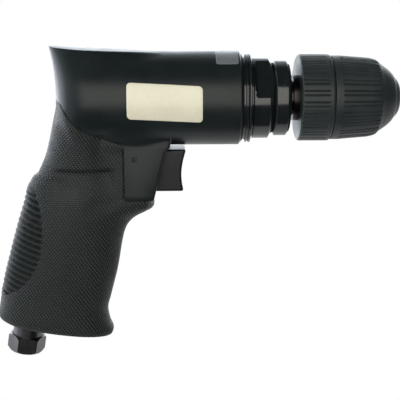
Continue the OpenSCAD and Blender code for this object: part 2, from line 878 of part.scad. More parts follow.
module spindle_bearing_outers() {
  color([0.6, 0.6, 0.62]) {
    tube(front_bearing_back, front_bearing_front, spindle_bearing_r, spindle_bearing_r - race_t);
    tube(shoulder_front, rear_bearing_front, spindle_bearing_r, spindle_bearing_r - race_t);
  }
}
module spindle_bearing_inners() {
  color([0.6, 0.6, 0.62]) {
    tube(front_bearing_back, front_bearing_front, spindle_r + race_t, spindle_r);
    tube(shoulder_front, rear_bearing_front, spindle_r + race_t, spindle_r);
  }
}
module spindle_bearing_balls() {
  r = (spindle_r + spindle_bearing_r) / 2;
  color([0.8, 0.8, 0.82]) {
    ball_row(front_bearing_back, front_bearing_front, r, spindle_ball_d, spindle_ball_n);
    ball_row(shoulder_front, rear_bearing_front, r, spindle_ball_d, spindle_ball_n);
  }
}
module bearing_spacer() {
  color([0.5, 0.5, 0.52]) tube(rear_bearing_front, front_bearing_back, spacer_r, spindle_r);
}
module spindle() {
  color([0.55, 0.55, 0.57])
    difference() {
      turned([
        [carrier_back, 0],
        [carrier_back, carrier_r],
        [carrier_back - carrier_t, carrier_r],
        [carrier_back - carrier_t, shoulder_r],
        [shoulder_front, shoulder_r],
        [shoulder_front, spindle_r],
        [front_bearing_front, spindle_r],
        [front_bearing_front, spindle_thread_d / 2],
        [front_bearing_front - spindle_thread_l, spindle_thread_d / 2],
        [front_bearing_front - spindle_thread_l, 0]
      ]);
      bar(front_bearing_front - spindle_thread_l + spindle_tap_l, front_bearing_front - spindle_thread_l - over,
          spindle_tap_d / 2);
      for (i = [0:2])
        rotate([120 * i, 0, 0])
          translate([0, 0, planet_orbit])
            bar(carrier_back + over, carrier_back - carrier_t - over, planet_pin_d / 2);
    }
}
module planet_pins() {
  color([0.6, 0.6, 0.62])
    for (i = [0:2])
      rotate([120 * i, 0, 0])
        translate([0, 0, planet_orbit]) bar(planet_back, carrier_back - carrier_t, planet_pin_d / 2);
}
// A planet gear at one of its three places
module planet_gear(i) {
  color([0.62, 0.62, 0.64])
    rotate([120 * i, 0, 0])
      translate([0, 0, planet_orbit])
        along(planet_back)
          linear_extrude(height = planet_w)
            difference() {
              gear(planet_n, thin_share);
              circle(r = planet_pin_d / 2 + run_fit);
            }
}
module planet_gear_1() {
  planet_gear(0);
}
module planet_gear_2() {
  planet_gear(1);
}
module planet_gear_3() {
  planet_gear(2);
}
module ring_gear() {
  color([0.5, 0.5, 0.52])
    along(ring_back)
      linear_extrude(height = ring_back - case_back)
        difference() {
          circle(r = motor_r);
          polygon(gear_pts(ring_n, ring_r - add_share * gear_m, ring_r + ded_share * gear_m,
                           90 / ring_n * wide_share));
        }
}

// Motor
module cylinder_sleeve() {
  difference() {
    bar(cylinder_back, cylinder_front, motor_r);
    translate([0, 0, cylinder_offset])
      bar(cylinder_back + over, cylinder_front - over, cylinder_bore_r);
    for (s = [-1, 1])
      translate([-(cylinder_back + cylinder_front) / 2 - port_slot_l / 2, -port_slot_w / 2, 0])
        rotate([180 + s * port_turn, 0, 0])
          cube([port_slot_l, port_slot_w, 2 * motor_r]);
    rotate([-45, 0, 0])
      translate([0, 0, dowel_r]) bar(cylinder_back + over, cylinder_back - dowel_l / 2, dowel_d / 2);
  }
}
module cylinder_liner() {
  color([0.55, 0.56, 0.58]) cylinder_sleeve();
}
module rear_end_plate() {
  color([0.6, 0.6, 0.6])
    difference() {
      bar(motor_floor, cylinder_back, motor_r);
      bar(motor_floor + over, motor_floor - rotor_bearing_w, rotor_bearing_r);
      bar(motor_floor + over, cylinder_back - over, plate_bore_d / 2);
      rotate([-45, 0, 0])
        translate([0, 0, dowel_r]) bar(cylinder_back + dowel_l / 2, cylinder_back - over, dowel_d / 2);
    }
}
module front_end_plate() {
  color([0.6, 0.6, 0.6])
    difference() {
      bar(cylinder_front, ring_back, motor_r);
      bar(ring_back + rotor_bearing_w, ring_back - over, rotor_bearing_r);
      bar(cylinder_front + over, ring_back - over, plate_bore_d / 2);
    }
}
module dowel_pin() {
  color([0.7, 0.7, 0.72])
    rotate([-45, 0, 0])
      translate([0, 0, dowel_r]) bar(cylinder_back + dowel_l / 2, cylinder_back - dowel_l / 2, dowel_d / 2);
}
module rear_bearing_outer() {
  color([0.6, 0.6, 0.62])
    tube(motor_floor, motor_floor - rotor_bearing_w, rotor_bearing_r, rotor_bearing_r - rotor_race_t);
}
module rear_bearing_inner() {
  color([0.6, 0.6, 0.62])
    tube(motor_floor - gap, motor_floor - rotor_bearing_w, rotor_shaft_r + rotor_race_t, rotor_shaft_r);
}
module front_bearing_outer() {
  color([0.6, 0.6, 0.62])
    tube(ring_back + rotor_bearing_w, ring_back, rotor_bearing_r, rotor_bearing_r - rotor_race_t);
}
module front_bearing_inner() {
  color([0.6, 0.6, 0.62])
    tube(ring_back + rotor_bearing_w, ring_back, rotor_shaft_r + rotor_race_t, rotor_shaft_r);
}
module rotor_bearing_balls() {
  r = (rotor_shaft_r + rotor_bearing_r) / 2;
  color([0.8, 0.8, 0.82]) {
    ball_row(motor_floor, motor_floor - rotor_bearing_w, r, rotor_ball_d, rotor_ball_n);
    ball_row(ring_back + rotor_bearing_w, ring_back, r, rotor_ball_d, rotor_ball_n);
  }
}
module rotor() {
  color([0.5, 0.5, 0.52])
    difference() {
      union() {
        bar(cylinder_back - gap, cylinder_front + gap, rotor_r);
        bar(motor_floor - gap, ring_back, rotor_shaft_r);
        along(ring_back) linear_extrude(height = pinion_l) gear(sun_n, thin_share);
      }
      for (i = [0:vane_n - 1])
        rotate([360 * i / vane_n, 0, 0])
          translate([-cylinder_back, -vane_t / 2 - vane_gap, rotor_r - vane_h - vane_rest_gap])
            cube([cylinder_l, vane_t + 2 * vane_gap, vane_h + vane_rest_gap + over]);
    }
}
module vanes() {
  color([0.35, 0.2, 0.12])
    for (i = [0:vane_n - 1])
      rotate([360 * i / vane_n, 0, 0])
        translate([-cylinder_back + gap, -vane_t / 2, rotor_r - vane_h - vane_rest_gap])
          cube([cylinder_l - 2 * gap, vane_t, vane_h]);
}

// Chuck
function jaw_outer(x) = jaw_axis_r + (x - jaw_front) * tan(jaw_slant) + jaw_d / 2 / cos(jaw_slant);
// The slanted bar that a jaw is made from, with room g round it
module jaw_bar(g, ahead, l) {
  translate([-jaw_front, 0, jaw_axis_r])
    rotate([0, jaw_slant - 90, 0])
      translate([0, 0, -ahead]) cylinder(h = ahead + l, r = jaw_d / 2 + g);
}
function jaw_open_l() = (shank_max - shank_rest) / 2 / sin(jaw_slant);
module chuck_jaw(i) {
  a = shank_rest / 2 - jaw_tip_rise;
  b = chuck_r;
  color([0.6, 0.6, 0.62])
    rotate([120 * i, 0, 0])
      difference() {
        intersection() {
          jaw_bar(0, jaw_d, jaw_l);
          rotate([0, -90, 0])
            linear_extrude(height = chuck_l)
              polygon([[a, 0], [a + b, b * tan(wedge_half)], [a + b, -b * tan(wedge_half)]]);
        }
        bar(chuck_l, -over, shank_rest / 2);
        translate([-jaw_front, -jaw_d, 0]) cube([jaw_l, 2 * jaw_d, 2 * jaw_d]);
      }
}
module chuck_jaw_1() {
  chuck_jaw(0);
}
module chuck_jaw_2() {
  chuck_jaw(1);
}
module chuck_jaw_3() {
  chuck_jaw(2);
}
module chuck_body() {
  color([0.3, 0.3, 0.32])
    difference() {
      turned([
        [0, 0],
        [0, nose_face_r],
        [nose_l, nose_r],
        [nut_front - gap, nose_r],
        [nut_front - gap, groove_r],
        [nut_front + nut_l + gap, groove_r],
        [nut_front + nut_l + gap, core_r],
        [chuck_l, core_r],
        [chuck_l, disc_r],
        [chuck_l + disc_l, disc_r],
        [chuck_l + disc_l, hub_r],
        [front_bearing_front, hub_r],
        [front_bearing_front, 0]
      ]);
      bar(mouth_depth, -over, mouth_r);
      bar(front_bearing_front + over, front_bearing_front - spindle_thread_l, spindle_thread_d / 2);
      bar(front_bearing_front, mouth_depth - over, chuck_screw_d / 2);
      for (i = [0:2])
        rotate([120 * i, 0, 0]) jaw_bar(run_fit, jaw_d, jaw_l + jaw_open_l() + gap);
    }
}
module chuck_screw() {
  back = front_bearing_front - spindle_thread_l;
  color([0.5, 0.5, 0.5]) {
    bar(mouth_depth, mouth_depth - screw_head_t, screw_head_d / 2);
    bar(back + chuck_screw_l, mouth_depth, chuck_screw_d / 2);
  }
}
module jaw_nut() {
  b = nut_front + nut_l;
  color([0.5, 0.5, 0.52])
    turned([
      [nut_front, jaw_outer(nut_front) + nut_gap],
      [nut_front, nut_r],
      [b, nut_r],
      [b, jaw_outer(b) + nut_gap]
    ]);
}
// Grooves along a sleeve between its wide and narrow ribs
module rib_grooves(back, front, r_back, r_front) {
  n = sleeve_rib_n;
  t = atan2(r_back - r_front, back - front);
  for (i = [0:n - 1], s = [0, rib_pitch_share])
    rotate([360 * (i + s) / n, 0, 0])
      translate([-back, -rib_groove_w / 2, r_back - sleeve_groove_h])
        rotate([0, t, 0]) cube([back - front, rib_groove_w, sleeve_wall]);
}
module front_sleeve() {
  end = sleeve_joint - sleeve_gap;
  pts = [for (p = front_sleeve_shares) [p[0] * sleeve_joint, p[1] * chuck_r]];
  color([0.05, 0.05, 0.06])
    difference() {
      turned(concat(
        [[pts[0][0], nose_r + gap]],
        pts,
        [
          [end, pts[len(pts) - 1][1]],
          [end, core_r + gap],
          [end - flange_in_l, core_r + gap],
          [end - flange_in_l, chuck_r - sleeve_wall],
          [nut_front + nut_l, chuck_r - sleeve_wall],
          [nut_front + nut_l, nut_r],
          [nut_front, nut_r],
          [nut_front, jaw_outer(nut_front) + gap],
          [sleeve_nose_back + nose_l, nose_r + gap]
        ]
      ));
      rib_grooves(front_rib_back, front_rib_front, pts[len(pts) - 1][1], pts[len(pts) - 2][1]);
    }
}
module rear_sleeve() {
  front = sleeve_joint + sleeve_gap;
  color([0.05, 0.05, 0.06])
    difference() {
      turned([
        [front, core_r],
        [front, chuck_r - rear_rim_bevel],
        [front + rear_rim_bevel, chuck_r],
        [chuck_l - rear_rim_bevel, chuck_r],
        [chuck_l, chuck_r - rear_rim_bevel],
        [chuck_l, core_r]
      ]);
      rib_grooves(chuck_l + over, chuck_l - rear_rib_l, chuck_r, chuck_r);
    }
}

// Trigger and throttle
module trigger() {
  z0 = trigger_top;
  z1 = trigger_top + trigger_h;
  color([0.06, 0.06, 0.07])
    difference() {
      union() {
        side_slab(concat(
          [[slant_x(z1) - trigger_seat, -z1], [slant_x(z0) - trigger_seat, -z0]],
          [for (i = [0:hollow_steps])
            let(t = i / hollow_steps)
            [-trigger_front - trigger_hollow * sin(180 * t * hollow_end_share), lerp(-z0, -z1, t)]]
        ), trigger_w);
        translate([-pin_back - tongue_tail, -tongue_half_w, -pin_drop - tongue_half_h])
          cube([pin_back - column_front + tongue_tail, 2 * tongue_half_w, 2 * tongue_half_h]);
      }
      for (x = [0, trigger_travel])
        translate([-pin_back + x, 0, -pin_drop])
          cross(2 * tongue_half_w + 2 * over, pin_d / 2 + slot_gap);
      translate([-pin_back, -tongue_half_w - over, -pin_drop - pin_d / 2 - slot_gap])
        cube([trigger_travel, 2 * (tongue_half_w + over), pin_d + 2 * slot_gap]);
    }
}
module trigger_pin() {
  color([0.4, 0.4, 0.42])
    translate([-pin_back, 0, -pin_drop]) cross(2 * column_half_w, pin_d / 2);
}
stem_front = column_front + trigger_seat + (throttle_drop + stem_d / 2 - trigger_top) * tan(column_slant);
seat_back = bushing_front + guide_l + front_chamber_l;
module valve_bushing() {
  color([0.75, 0.65, 0.35])
    difference() {
      bar_at(bushing_back, bushing_front, bushing_d / 2, throttle_drop);
      bar_at(bushing_back, bushing_front - over, stem_d / 2 + run_fit, throttle_drop);
      bar_at(seat_back + over, bushing_front + guide_l, front_chamber_d / 2, throttle_drop);
      bar_at(bushing_back - bushing_floor_t, seat_back, chamber_d / 2, throttle_drop);
      bar_at(bushing_back + over, bushing_back - 2 * bushing_floor_t, port_d / 2, throttle_drop);
      translate([-spool_back, 0, -throttle_drop]) cylinder(h = bushing_d, r = port_d / 2);
    }
}
module valve_seal() {
  color([0.1, 0.1, 0.1])
    translate([0, 0, -throttle_drop]) tube(seat_back + seal_t, seat_back, chamber_d / 2, stem_d / 2 + gap);
}
module valve_stem() {
  color([0.7, 0.7, 0.72]) {
    bar_at(seat_back + seal_t + poppet_t, stem_front, stem_d / 2, throttle_drop);
    bar_at(seat_back + seal_t + poppet_t, seat_back + seal_t, poppet_d / 2, throttle_drop);
  }
}
function spring_ring(t, l) =
  let(a = 360 * spring_turns * t, c = [spring_d / 2 * cos(a), spring_d / 2 * sin(a), l * t])
  [for (k = [0:spring_sides - 1])
    let(b = 360 * k / spring_sides)
    c + spring_wire_d / 2 * [cos(b) * cos(a), cos(b) * sin(a), sin(b)]];
module valve_spring() {
  n = spring_turns * spring_rings;
  front = seat_back + seal_t + poppet_t;
  l = bushing_back - bushing_floor_t - front - spring_wire_d;
  color([0.75, 0.75, 0.77])
    translate([0, 0, -throttle_drop])
      along(bushing_back - bushing_floor_t - spring_wire_d / 2)
        loft([for (i = [0:n]) spring_ring(i / n, l)]);
}

// Reversing valve and lever
module reverse_valve() {
  color([0.75, 0.65, 0.35])
    difference() {
      translate([-spool_back, -spool_right, -spool_drop])
        rotate([-90, 0, 0]) cylinder(h = spool_right + lever_seat, r = spool_d / 2);
      translate([-spool_back, 0, -spool_drop - spool_d]) cylinder(h = 2 * spool_d, r = port_d / 2 - gap);
      translate([-spool_back, lever_seat - spool_screw_l, -spool_drop])
        rotate([-90, 0, 0]) cylinder(h = spool_screw_l + over, r = spool_screw_d / 2);
    }
}
module reverse_lever() {
  color([0.07, 0.07, 0.08])
    translate([-spool_back, lever_seat, -spool_drop])
      rotate([-90, 0, 0])
        linear_extrude(height = lever_t)
          difference() {
            union() {
              circle(d = lever_hub_d);
              translate([0, -lever_tip_d / 2]) square([lever_l, lever_tip_d]);
              translate([lever_l, 0]) circle(d = lever_tip_d);
            }
            circle(d = spool_screw_d);
          }
}
module lever_screw() {
  color([0.5, 0.5, 0.5])
    translate([-spool_back, lever_seat, -spool_drop])
      rotate([-90, 0, 0]) {
        translate([0, 0, -spool_screw_l]) cylinder(h = spool_screw_l + lever_t, d = spool_screw_d);
        translate([0, 0, lever_t]) cylinder(h = lever_screw_t, d = lever_screw_d);
      }
}

// Air fittings
module inlet_bushing() {
  color([0.14, 0.13, 0.15])
    inlet_frame()
      difference() {
        union() {
          cylinder(h = inlet_stem_l - screen_t, r = inlet_stem_d / 2);
          translate([0, 0, -inlet_neck_l]) cylinder(h = inlet_neck_l, r = inlet_neck_d / 2);
          intersection() {
            translate([0, 0, -inlet_neck_l - inlet_hex_h])
              rotate([0, 0, hex_turn]) cylinder(h = inlet_hex_h, r = hex_corner_r, $fn = 6);
            translate([0, 0, -inlet_neck_l - inlet_hex_h])
              rotate_extrude()
                polygon([
                  [0, 0],
                  [hex_corner_r - hex_bevel, 0],
                  [hex_corner_r, hex_bevel],
                  [hex_corner_r, inlet_hex_h - hex_bevel],
                  [hex_corner_r - hex_bevel, inlet_hex_h],
                  [0, inlet_hex_h]
                ]);
          }
        }
        translate([0, 0, -inlet_neck_l - inlet_hex_h - over])
          cylinder(h = inlet_thread_l + over, r = inlet_thread_d / 2);
        translate([0, 0, -inlet_neck_l - inlet_hex_h])
          cylinder(h = inlet_stem_l + inlet_neck_l + inlet_hex_h, r = supply_d / 2);
      }
}
module inlet_screen() {
  color([0.7, 0.6, 0.3])
    inlet_frame()
      translate([0, 0, inlet_stem_l - screen_t])
        difference() {
          cylinder(h = screen_t, r = inlet_stem_d / 2);
          for (x = [-1:1], y = [-1:1])
            translate([x * screen_mesh, y * screen_mesh, -over])
              cylinder(h = screen_t + 2 * over, r = screen_hole_share * screen_mesh);
        }
}
module silencer() {
  color([0.5, 0.48, 0.42])
    foot_frame() translate([0, -silencer_w / 2, plate_cover_t]) cube([silencer_l, silencer_w, silencer_h]);
}
module exhaust_plate() {
  color([0.08, 0.08, 0.09])
    foot_frame()
      difference() {
        translate([-plate_rim, -silencer_w / 2, 0])
          cube([silencer_l + 2 * plate_rim, silencer_w, plate_cover_t]);
        for (i = [0:plate_slot_n - 1])
          translate([silencer_l * (i + 1) / (plate_slot_n + 1) - plate_slot_w / 2, -plate_slot_l / 2, -over])
            cube([plate_slot_w, plate_slot_l, plate_cover_t + 2 * over]);
        for (x = plate_screw_places())
          translate([x, 0, -over]) {
            cylinder(h = plate_cover_t + 2 * over, d = plate_screw_d);
            cylinder(h = plate_screw_head_t + over, d = plate_screw_head_d);
          }
      }
}
module plate_screws() {
  color([0.5, 0.5, 0.5])
    foot_frame()
      for (x = plate_screw_places())
        translate([x, 0, 0]) {
          cylinder(h = plate_screw_l, d = plate_screw_d);
          cylinder(h = plate_screw_head_t, d = plate_screw_head_d);
        }
}

housing();
grip_sleeve();
name_plate();
side_label();
gear_case();
bearing_cap();
shaft_seal();
spindle_bearing_outers();
spindle_bearing_inners();
spindle_bearing_balls();
bearing_spacer();
spindle();
planet_pins();
planet_gear_1();
planet_gear_2();
planet_gear_3();
ring_gear();
cylinder_liner();
rear_end_plate();
front_end_plate();
dowel_pin();
rear_bearing_outer();
rear_bearing_inner();
front_bearing_outer();
front_bearing_inner();
rotor_bearing_balls();
rotor();
vanes();
chuck_body();
chuck_screw();
chuck_jaw_1();
chuck_jaw_2();
chuck_jaw_3();
jaw_nut();
front_sleeve();
rear_sleeve();
trigger();
trigger_pin();
valve_bushing();
valve_seal();
valve_stem();
valve_spring();
reverse_valve();
reverse_lever();
lever_screw();
inlet_bushing();
inlet_screen();
silencer();
exhaust_plate();
plate_screws();
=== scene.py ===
import math
import bpy
import bmesh
from mathutils import Matrix, Vector


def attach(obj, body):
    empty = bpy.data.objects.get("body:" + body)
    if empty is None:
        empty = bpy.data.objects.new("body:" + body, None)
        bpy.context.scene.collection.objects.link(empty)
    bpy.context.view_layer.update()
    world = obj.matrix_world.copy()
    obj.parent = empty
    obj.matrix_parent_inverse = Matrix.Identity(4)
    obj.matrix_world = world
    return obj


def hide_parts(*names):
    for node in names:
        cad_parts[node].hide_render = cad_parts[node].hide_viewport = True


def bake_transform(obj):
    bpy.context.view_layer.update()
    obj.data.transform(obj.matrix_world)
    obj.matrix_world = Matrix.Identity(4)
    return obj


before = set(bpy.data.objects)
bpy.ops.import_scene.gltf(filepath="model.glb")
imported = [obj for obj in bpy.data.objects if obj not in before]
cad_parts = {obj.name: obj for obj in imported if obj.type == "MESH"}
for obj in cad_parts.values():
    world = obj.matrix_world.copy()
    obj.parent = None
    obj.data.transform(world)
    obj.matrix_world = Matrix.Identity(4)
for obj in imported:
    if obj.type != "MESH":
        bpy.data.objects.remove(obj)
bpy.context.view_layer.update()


# Camera: a long lens a little above the barrel, almost square to the tool's right side,
# so that the chuck points to the right of the picture.
MM = 0.001
AIM = Vector((-99.8, 0.0, -52.7)) * MM
AIM_DISTANCE = 439.6 * MM
CAMERA_RISE = math.radians(13.3)
CAMERA_TURN = math.radians(2.0)
LENS = 76.5
SENSOR_WIDTH = 36

away = Vector((-math.sin(CAMERA_TURN) * math.cos(CAMERA_RISE),
               -math.cos(CAMERA_TURN) * math.cos(CAMERA_RISE),
               math.sin(CAMERA_RISE)))
right = Vector((0, 0, 1)).cross(away).normalized()
upward = away.cross(right)
camera_data = bpy.data.cameras.new("camera")
camera_data.lens = LENS
camera_data.sensor_width = SENSOR_WIDTH
camera = bpy.data.objects.new("camera", camera_data)
bpy.context.scene.collection.objects.link(camera)
camera.matrix_world = (Matrix.Translation(AIM + away * AIM_DISTANCE)
                       @ Matrix((right, upward, away)).transposed().to_4x4())
bpy.context.scene.camera = camera
bpy.context.scene.view_settings.view_transform = "Standard"


# Studio: a white tent behind the tool and at its left that is open and dim towards the camera,
# a pale table far below, soft boxes behind and at the left, and a weak warm lamp by the camera.
class Field:
    """A value that varies over a surface: a node socket with ordinary arithmetic."""

    def __init__(self, tree, socket):
        self.tree = tree
        self.socket = socket

    def node(self, kind, settings, inputs, out=0):
        return make(self.tree, kind, settings, inputs, out)

    def math(self, operation, *others):
        inputs = dict(enumerate((self, *others)))
        return self.node("ShaderNodeMath", {"operation": operation}, inputs)

    def __add__(self, other):
        return self.math("ADD", other)

    def __sub__(self, other):
        return self.math("SUBTRACT", other)

    def __rsub__(self, other):
        return self.node("ShaderNodeMath", {"operation": "SUBTRACT"}, {0: other, 1: self})

    def __mul__(self, other):
        return self.math("MULTIPLY", other)

    def ramp(self, low, high, start=0.0, end=1.0):
        inputs = {0: self, 1: low, 2: high, 3: start, 4: end}
        return self.node("ShaderNodeMapRange", {"interpolation_type": "SMOOTHSTEP"}, inputs)

    def mix(self, first, second):
        return self.node("ShaderNodeMix", {"data_type": "RGBA"}, {0: self, 6: first, 7: second}, 2)


def make(tree, kind, settings, inputs, out=0):
    """Adds one shader node with its settings and inputs, and gives one of its outputs."""
    node = tree.nodes.new(kind)
    for name, value in settings.items():
        setattr(node, name, value)
    for name, value in inputs.items():
        socket = node.inputs[name]
        if isinstance(value, Field):
            tree.links.new(value.socket, socket)
        elif socket.type == "RGBA":
            socket.default_value = (*value, 1.0)
        else:
            socket.default_value = value
    return Field(tree, node.outputs[out]) if node.outputs else None


def add_object(name, data):
    obj = bpy.data.objects.new(name, data)
    bpy.context.scene.collection.objects.link(obj)
    return obj


def area_lamp(name, place, aim, size, energy, colour):
    """A soft box at a place that faces a point; it lights the tool and isn't seen itself."""
    data = bpy.data.lights.new(name, "AREA")
    data.shape = "RECTANGLE"
    data.size, data.size_y = size
    data.energy = energy
    data.color = colour
    lamp = add_object(name, data)
    lamp.location = place
    lamp.rotation_euler = (Vector(aim) - Vector(place)).to_track_quat("-Z", "Y").to_euler()
    lamp.visible_camera = False


TENT_BACK = 1.0
TENT_FRONT = 0.05
TENT_LEFT = 1.0
BACK_EDGE = (0.3, 0.75)
LEFT_EDGE = (0.5, 0.85)
TENT_WHITE = (1.0, 1.0, 1.0)
TENT_SHADE = (0.84, 0.93, 1.0)
world = bpy.data.worlds.new("tent")
bpy.context.scene.world = world
world.use_nodes = True
tree = world.node_tree
tree.nodes.clear()
direction = make(tree, "ShaderNodeTexCoord", {}, {}, "Generated")
along = direction.node("ShaderNodeSeparateXYZ", {}, {0: direction}, 0)
behind = direction.node("ShaderNodeSeparateXYZ", {}, {0: direction}, 1)
seen = make(tree, "ShaderNodeLightPath", {}, {}, "Is Camera Ray")
left = (0.0 - along).ramp(*LEFT_EDGE, 0.0, TENT_LEFT)
tent = behind.ramp(*BACK_EDGE, TENT_FRONT, TENT_BACK).math("MAXIMUM", left)
level = seen + (1.0 - seen) * tent
tint = seen.mix(TENT_SHADE, TENT_WHITE)
sky = make(tree, "ShaderNodeBackground", {}, {"Color": tint, "Strength": level})
make(tree, "ShaderNodeOutputWorld", {}, {0: sky})

FLOOR_DROP = -0.62
FLOOR_REACH = 3.0
FLOOR_FRONT = -0.1
FLOOR_COLOUR = (0.85, 0.85, 0.85)
floor_mesh = bpy.data.meshes.new("floor")
floor_mesh.from_pydata([(-FLOOR_REACH, FLOOR_FRONT, FLOOR_DROP), (FLOOR_REACH, FLOOR_FRONT, FLOOR_DROP),
                        (FLOOR_REACH, FLOOR_REACH, FLOOR_DROP), (-FLOOR_REACH, FLOOR_REACH, FLOOR_DROP)],
                       [], [(0, 1, 2, 3)])
floor = add_object("floor", floor_mesh)
floor_material = bpy.data.materials.new("pale_table")
floor_material.use_nodes = True
tree = floor_material.node_tree
tree.nodes.clear()
matte = make(tree, "ShaderNodeBsdfDiffuse", {}, {"Color": FLOOR_COLOUR})
white = make(tree, "ShaderNodeEmission", {}, {"Color": TENT_WHITE})
paths = [make(tree, "ShaderNodeLightPath", {}, {}, kind)
         for kind in ("Is Camera Ray", "Is Glossy Ray", "Is Transmission Ray")]
shown = (paths[0] + paths[1] + paths[2]).math("MINIMUM", 1.0)
table = make(tree, "ShaderNodeMixShader", {}, {0: shown, 1: matte, 2: white})
make(tree, "ShaderNodeOutputMaterial", {}, {0: table})
floor_mesh.materials.append(floor_material)

area_lamp("soft_box_back", place=(-0.1, 1.3, 0.15), aim=(-0.1, 0, 0), size=(2.2, 1.3),
          energy=18.0, colour=(0.88, 0.94, 1.0))
area_lamp("soft_box_left", place=(-1.12, 0.5, 0.1), aim=(-0.15, 0, 0), size=(1.2, 0.9),
          energy=11.0, colour=(0.9, 0.91, 1.0))
area_lamp("warm_lamp_front", place=(-0.22, -0.9, 0.2), aim=(-0.1, 0, -0.03), size=(0.9, 0.9),
          energy=7.9, colour=(1.0, 0.98, 0.9))


# Housing: one moulded shell of black glass-filled nylon. The barrel has a crowned thumb pad
# on its rear hood, and the trigger column stands under it with a bevelled panel edge.
def blend(a, b, s):
    return a + (b - a) * s


def ease(low, high, value):
    """A smooth step from 0 at low to 1 at high."""
    s = min(1.0, max(0.0, (value - low) / (high - low)))
    return s * s * (3 - 2 * s)


def signed_power(value, power):
    return math.copysign(abs(value) ** power, value)


def curve_at(points, key):
    """A smooth curve through (key, value) points in rising order, level beyond its ends."""
    if key <= points[0][0]:
        return points[0][1]
    for i in range(len(points) - 1):
        (k0, v0), (k1, v1) = points[i], points[i + 1]
        if key <= k1:
            slope = (v1 - v0) / (k1 - k0)
            before = points[i - 1] if i else points[i]
            after = points[i + 2] if i + 2 < len(points) else points[i + 1]
            s0 = (v1 - before[1]) / (k1 - before[0]) if i else slope
            s1 = (after[1] - v0) / (after[0] - k0)
            s = (key - k0) / (k1 - k0)
            w = k1 - k0
            return ((2 * s ** 3 - 3 * s ** 2 + 1) * v0 + (s ** 3 - 2 * s ** 2 + s) * w * s0
                    + (3 * s ** 2 - 2 * s ** 3) * v1 + (s ** 3 - s ** 2) * w * s1)
    return points[-1][1]


def soft_max(a, b, reach):
    """The larger of two lengths, with a fillet of about that reach where they cross."""
    h = max(reach - abs(a - b), 0.0) / reach
    return max(a, b) + h * h * reach / 4


def ring_faces(count, size):
    """Quads between rings of equal size, each ring closed on itself."""
    faces = []
    for i in range(count - 1):
        for k in range(size):
            after = (k + 1) % size
            faces.append((i * size + k, i * size + after, (i + 1) * size + after, (i + 1) * size + k))
    return faces


def shape(name, rings, close_first=False, close_last=False, sharp=32):
    """A mesh object from rings of points in millimetres, with faces over the chosen ends."""
    size = len(rings[0])
    faces = ring_faces(len(rings), size)
    if close_first:
        faces.append(tuple(range(size - 1, -1, -1)))
    if close_last:
        start = (len(rings) - 1) * size
        faces.append(tuple(range(start, start + size)))
    mesh = bpy.data.meshes.new(name)
    mesh.from_pydata([tuple(v * MM for v in p) for ring in rings for p in ring], [], faces)
    obj = add_object(name, mesh)
    finish_mesh(obj, sharp)
    return obj


def finish_mesh(obj, sharp=32):
    """Turns all faces outward and shades the mesh smooth, with its true edges kept sharp."""
    bm = bmesh.new()
    bm.from_mesh(obj.data)
    bmesh.ops.recalc_face_normals(bm, faces=bm.faces)
    bm.to_mesh(obj.data)
    bm.free()
    obj.data.shade_smooth()
    obj.data.set_sharp_from_angle(angle=math.radians(sharp))


def apply_modifiers(obj):
    """Makes what the object's modifiers show its own mesh."""
    graph = bpy.context.evaluated_depsgraph_get()
    mesh = bpy.data.meshes.new_from_object(obj.evaluated_get(graph))
    obj.modifiers.clear()
    obj.data = mesh


def cut(obj, tool):
    """Cuts a tool's solid out of an object and drops the tool."""
    change = obj.modifiers.new("cut", "BOOLEAN")
    change.operation = "DIFFERENCE"
    change.solver = "EXACT"
    change.object = tool
    apply_modifiers(obj)
    bpy.data.objects.remove(tool)


def join(obj, other):
    """Adds another object's mesh to this one and drops the other."""
    bm = bmesh.new()
    bm.from_mesh(obj.data)
    bm.from_mesh(other.data)
    bm.to_mesh(obj.data)
    bm.free()
    bpy.data.objects.remove(other)


def settle(obj, material, body, slot, *nodes):
    """Gives a piece its finish, the body it rides on and the CAD nodes it stands for."""
    obj.data.materials.clear()
    obj.data.materials.append(material)
    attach(obj, body)
    if nodes:
        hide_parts(*nodes)


def new_material(name, **constants):
    """A material with one principled shader; returns it, its shader and its object coordinates."""
    material = bpy.data.materials.new(name)
    material.use_nodes = True
    tree = material.node_tree
    shader = next(n for n in tree.nodes if n.type == "BSDF_PRINCIPLED")
    for key, value in constants.items():
        socket = shader.inputs[key.replace("_", " ")]
        socket.default_value = (*value, 1.0) if socket.type == "RGBA" else value
    return material, shader, make(tree, "ShaderNodeTexCoord", {}, {}, "Object")


def noise(place, scale, detail):
    return place.node("ShaderNodeTexNoise", {}, {"Vector": place, "Scale": scale, "Detail": detail})


def feed(shader, name, field):
    field.tree.links.new(field.socket, shader.inputs[name])


def emboss(shader, height, distance, strength):
    """Lets a height field bend the shading normal."""
    inputs = {"Height": height, "Distance": distance, "Strength": strength}
    feed(shader, "Normal", height.node("ShaderNodeBump", {}, inputs))


def moulded_plastic(name, dark, light, rough):
    """Fine spark-eroded mould grain, with slow changes of tone and gloss."""
    material, shader, place = new_material(name, Specular_IOR_Level=0.25)
    cloud = noise(place, scale=60.0, detail=4.0)
    grain = noise(place, scale=1400.0, detail=1.0)
    feed(shader, "Base Color", (cloud * 0.7 + grain * 0.3).ramp(0.3, 0.7).mix(dark, light))
    feed(shader, "Roughness", cloud.ramp(0.25, 0.75, rough - 0.05, rough + 0.05))
    emboss(shader, grain, distance=0.03 * MM, strength=0.35)
    return material


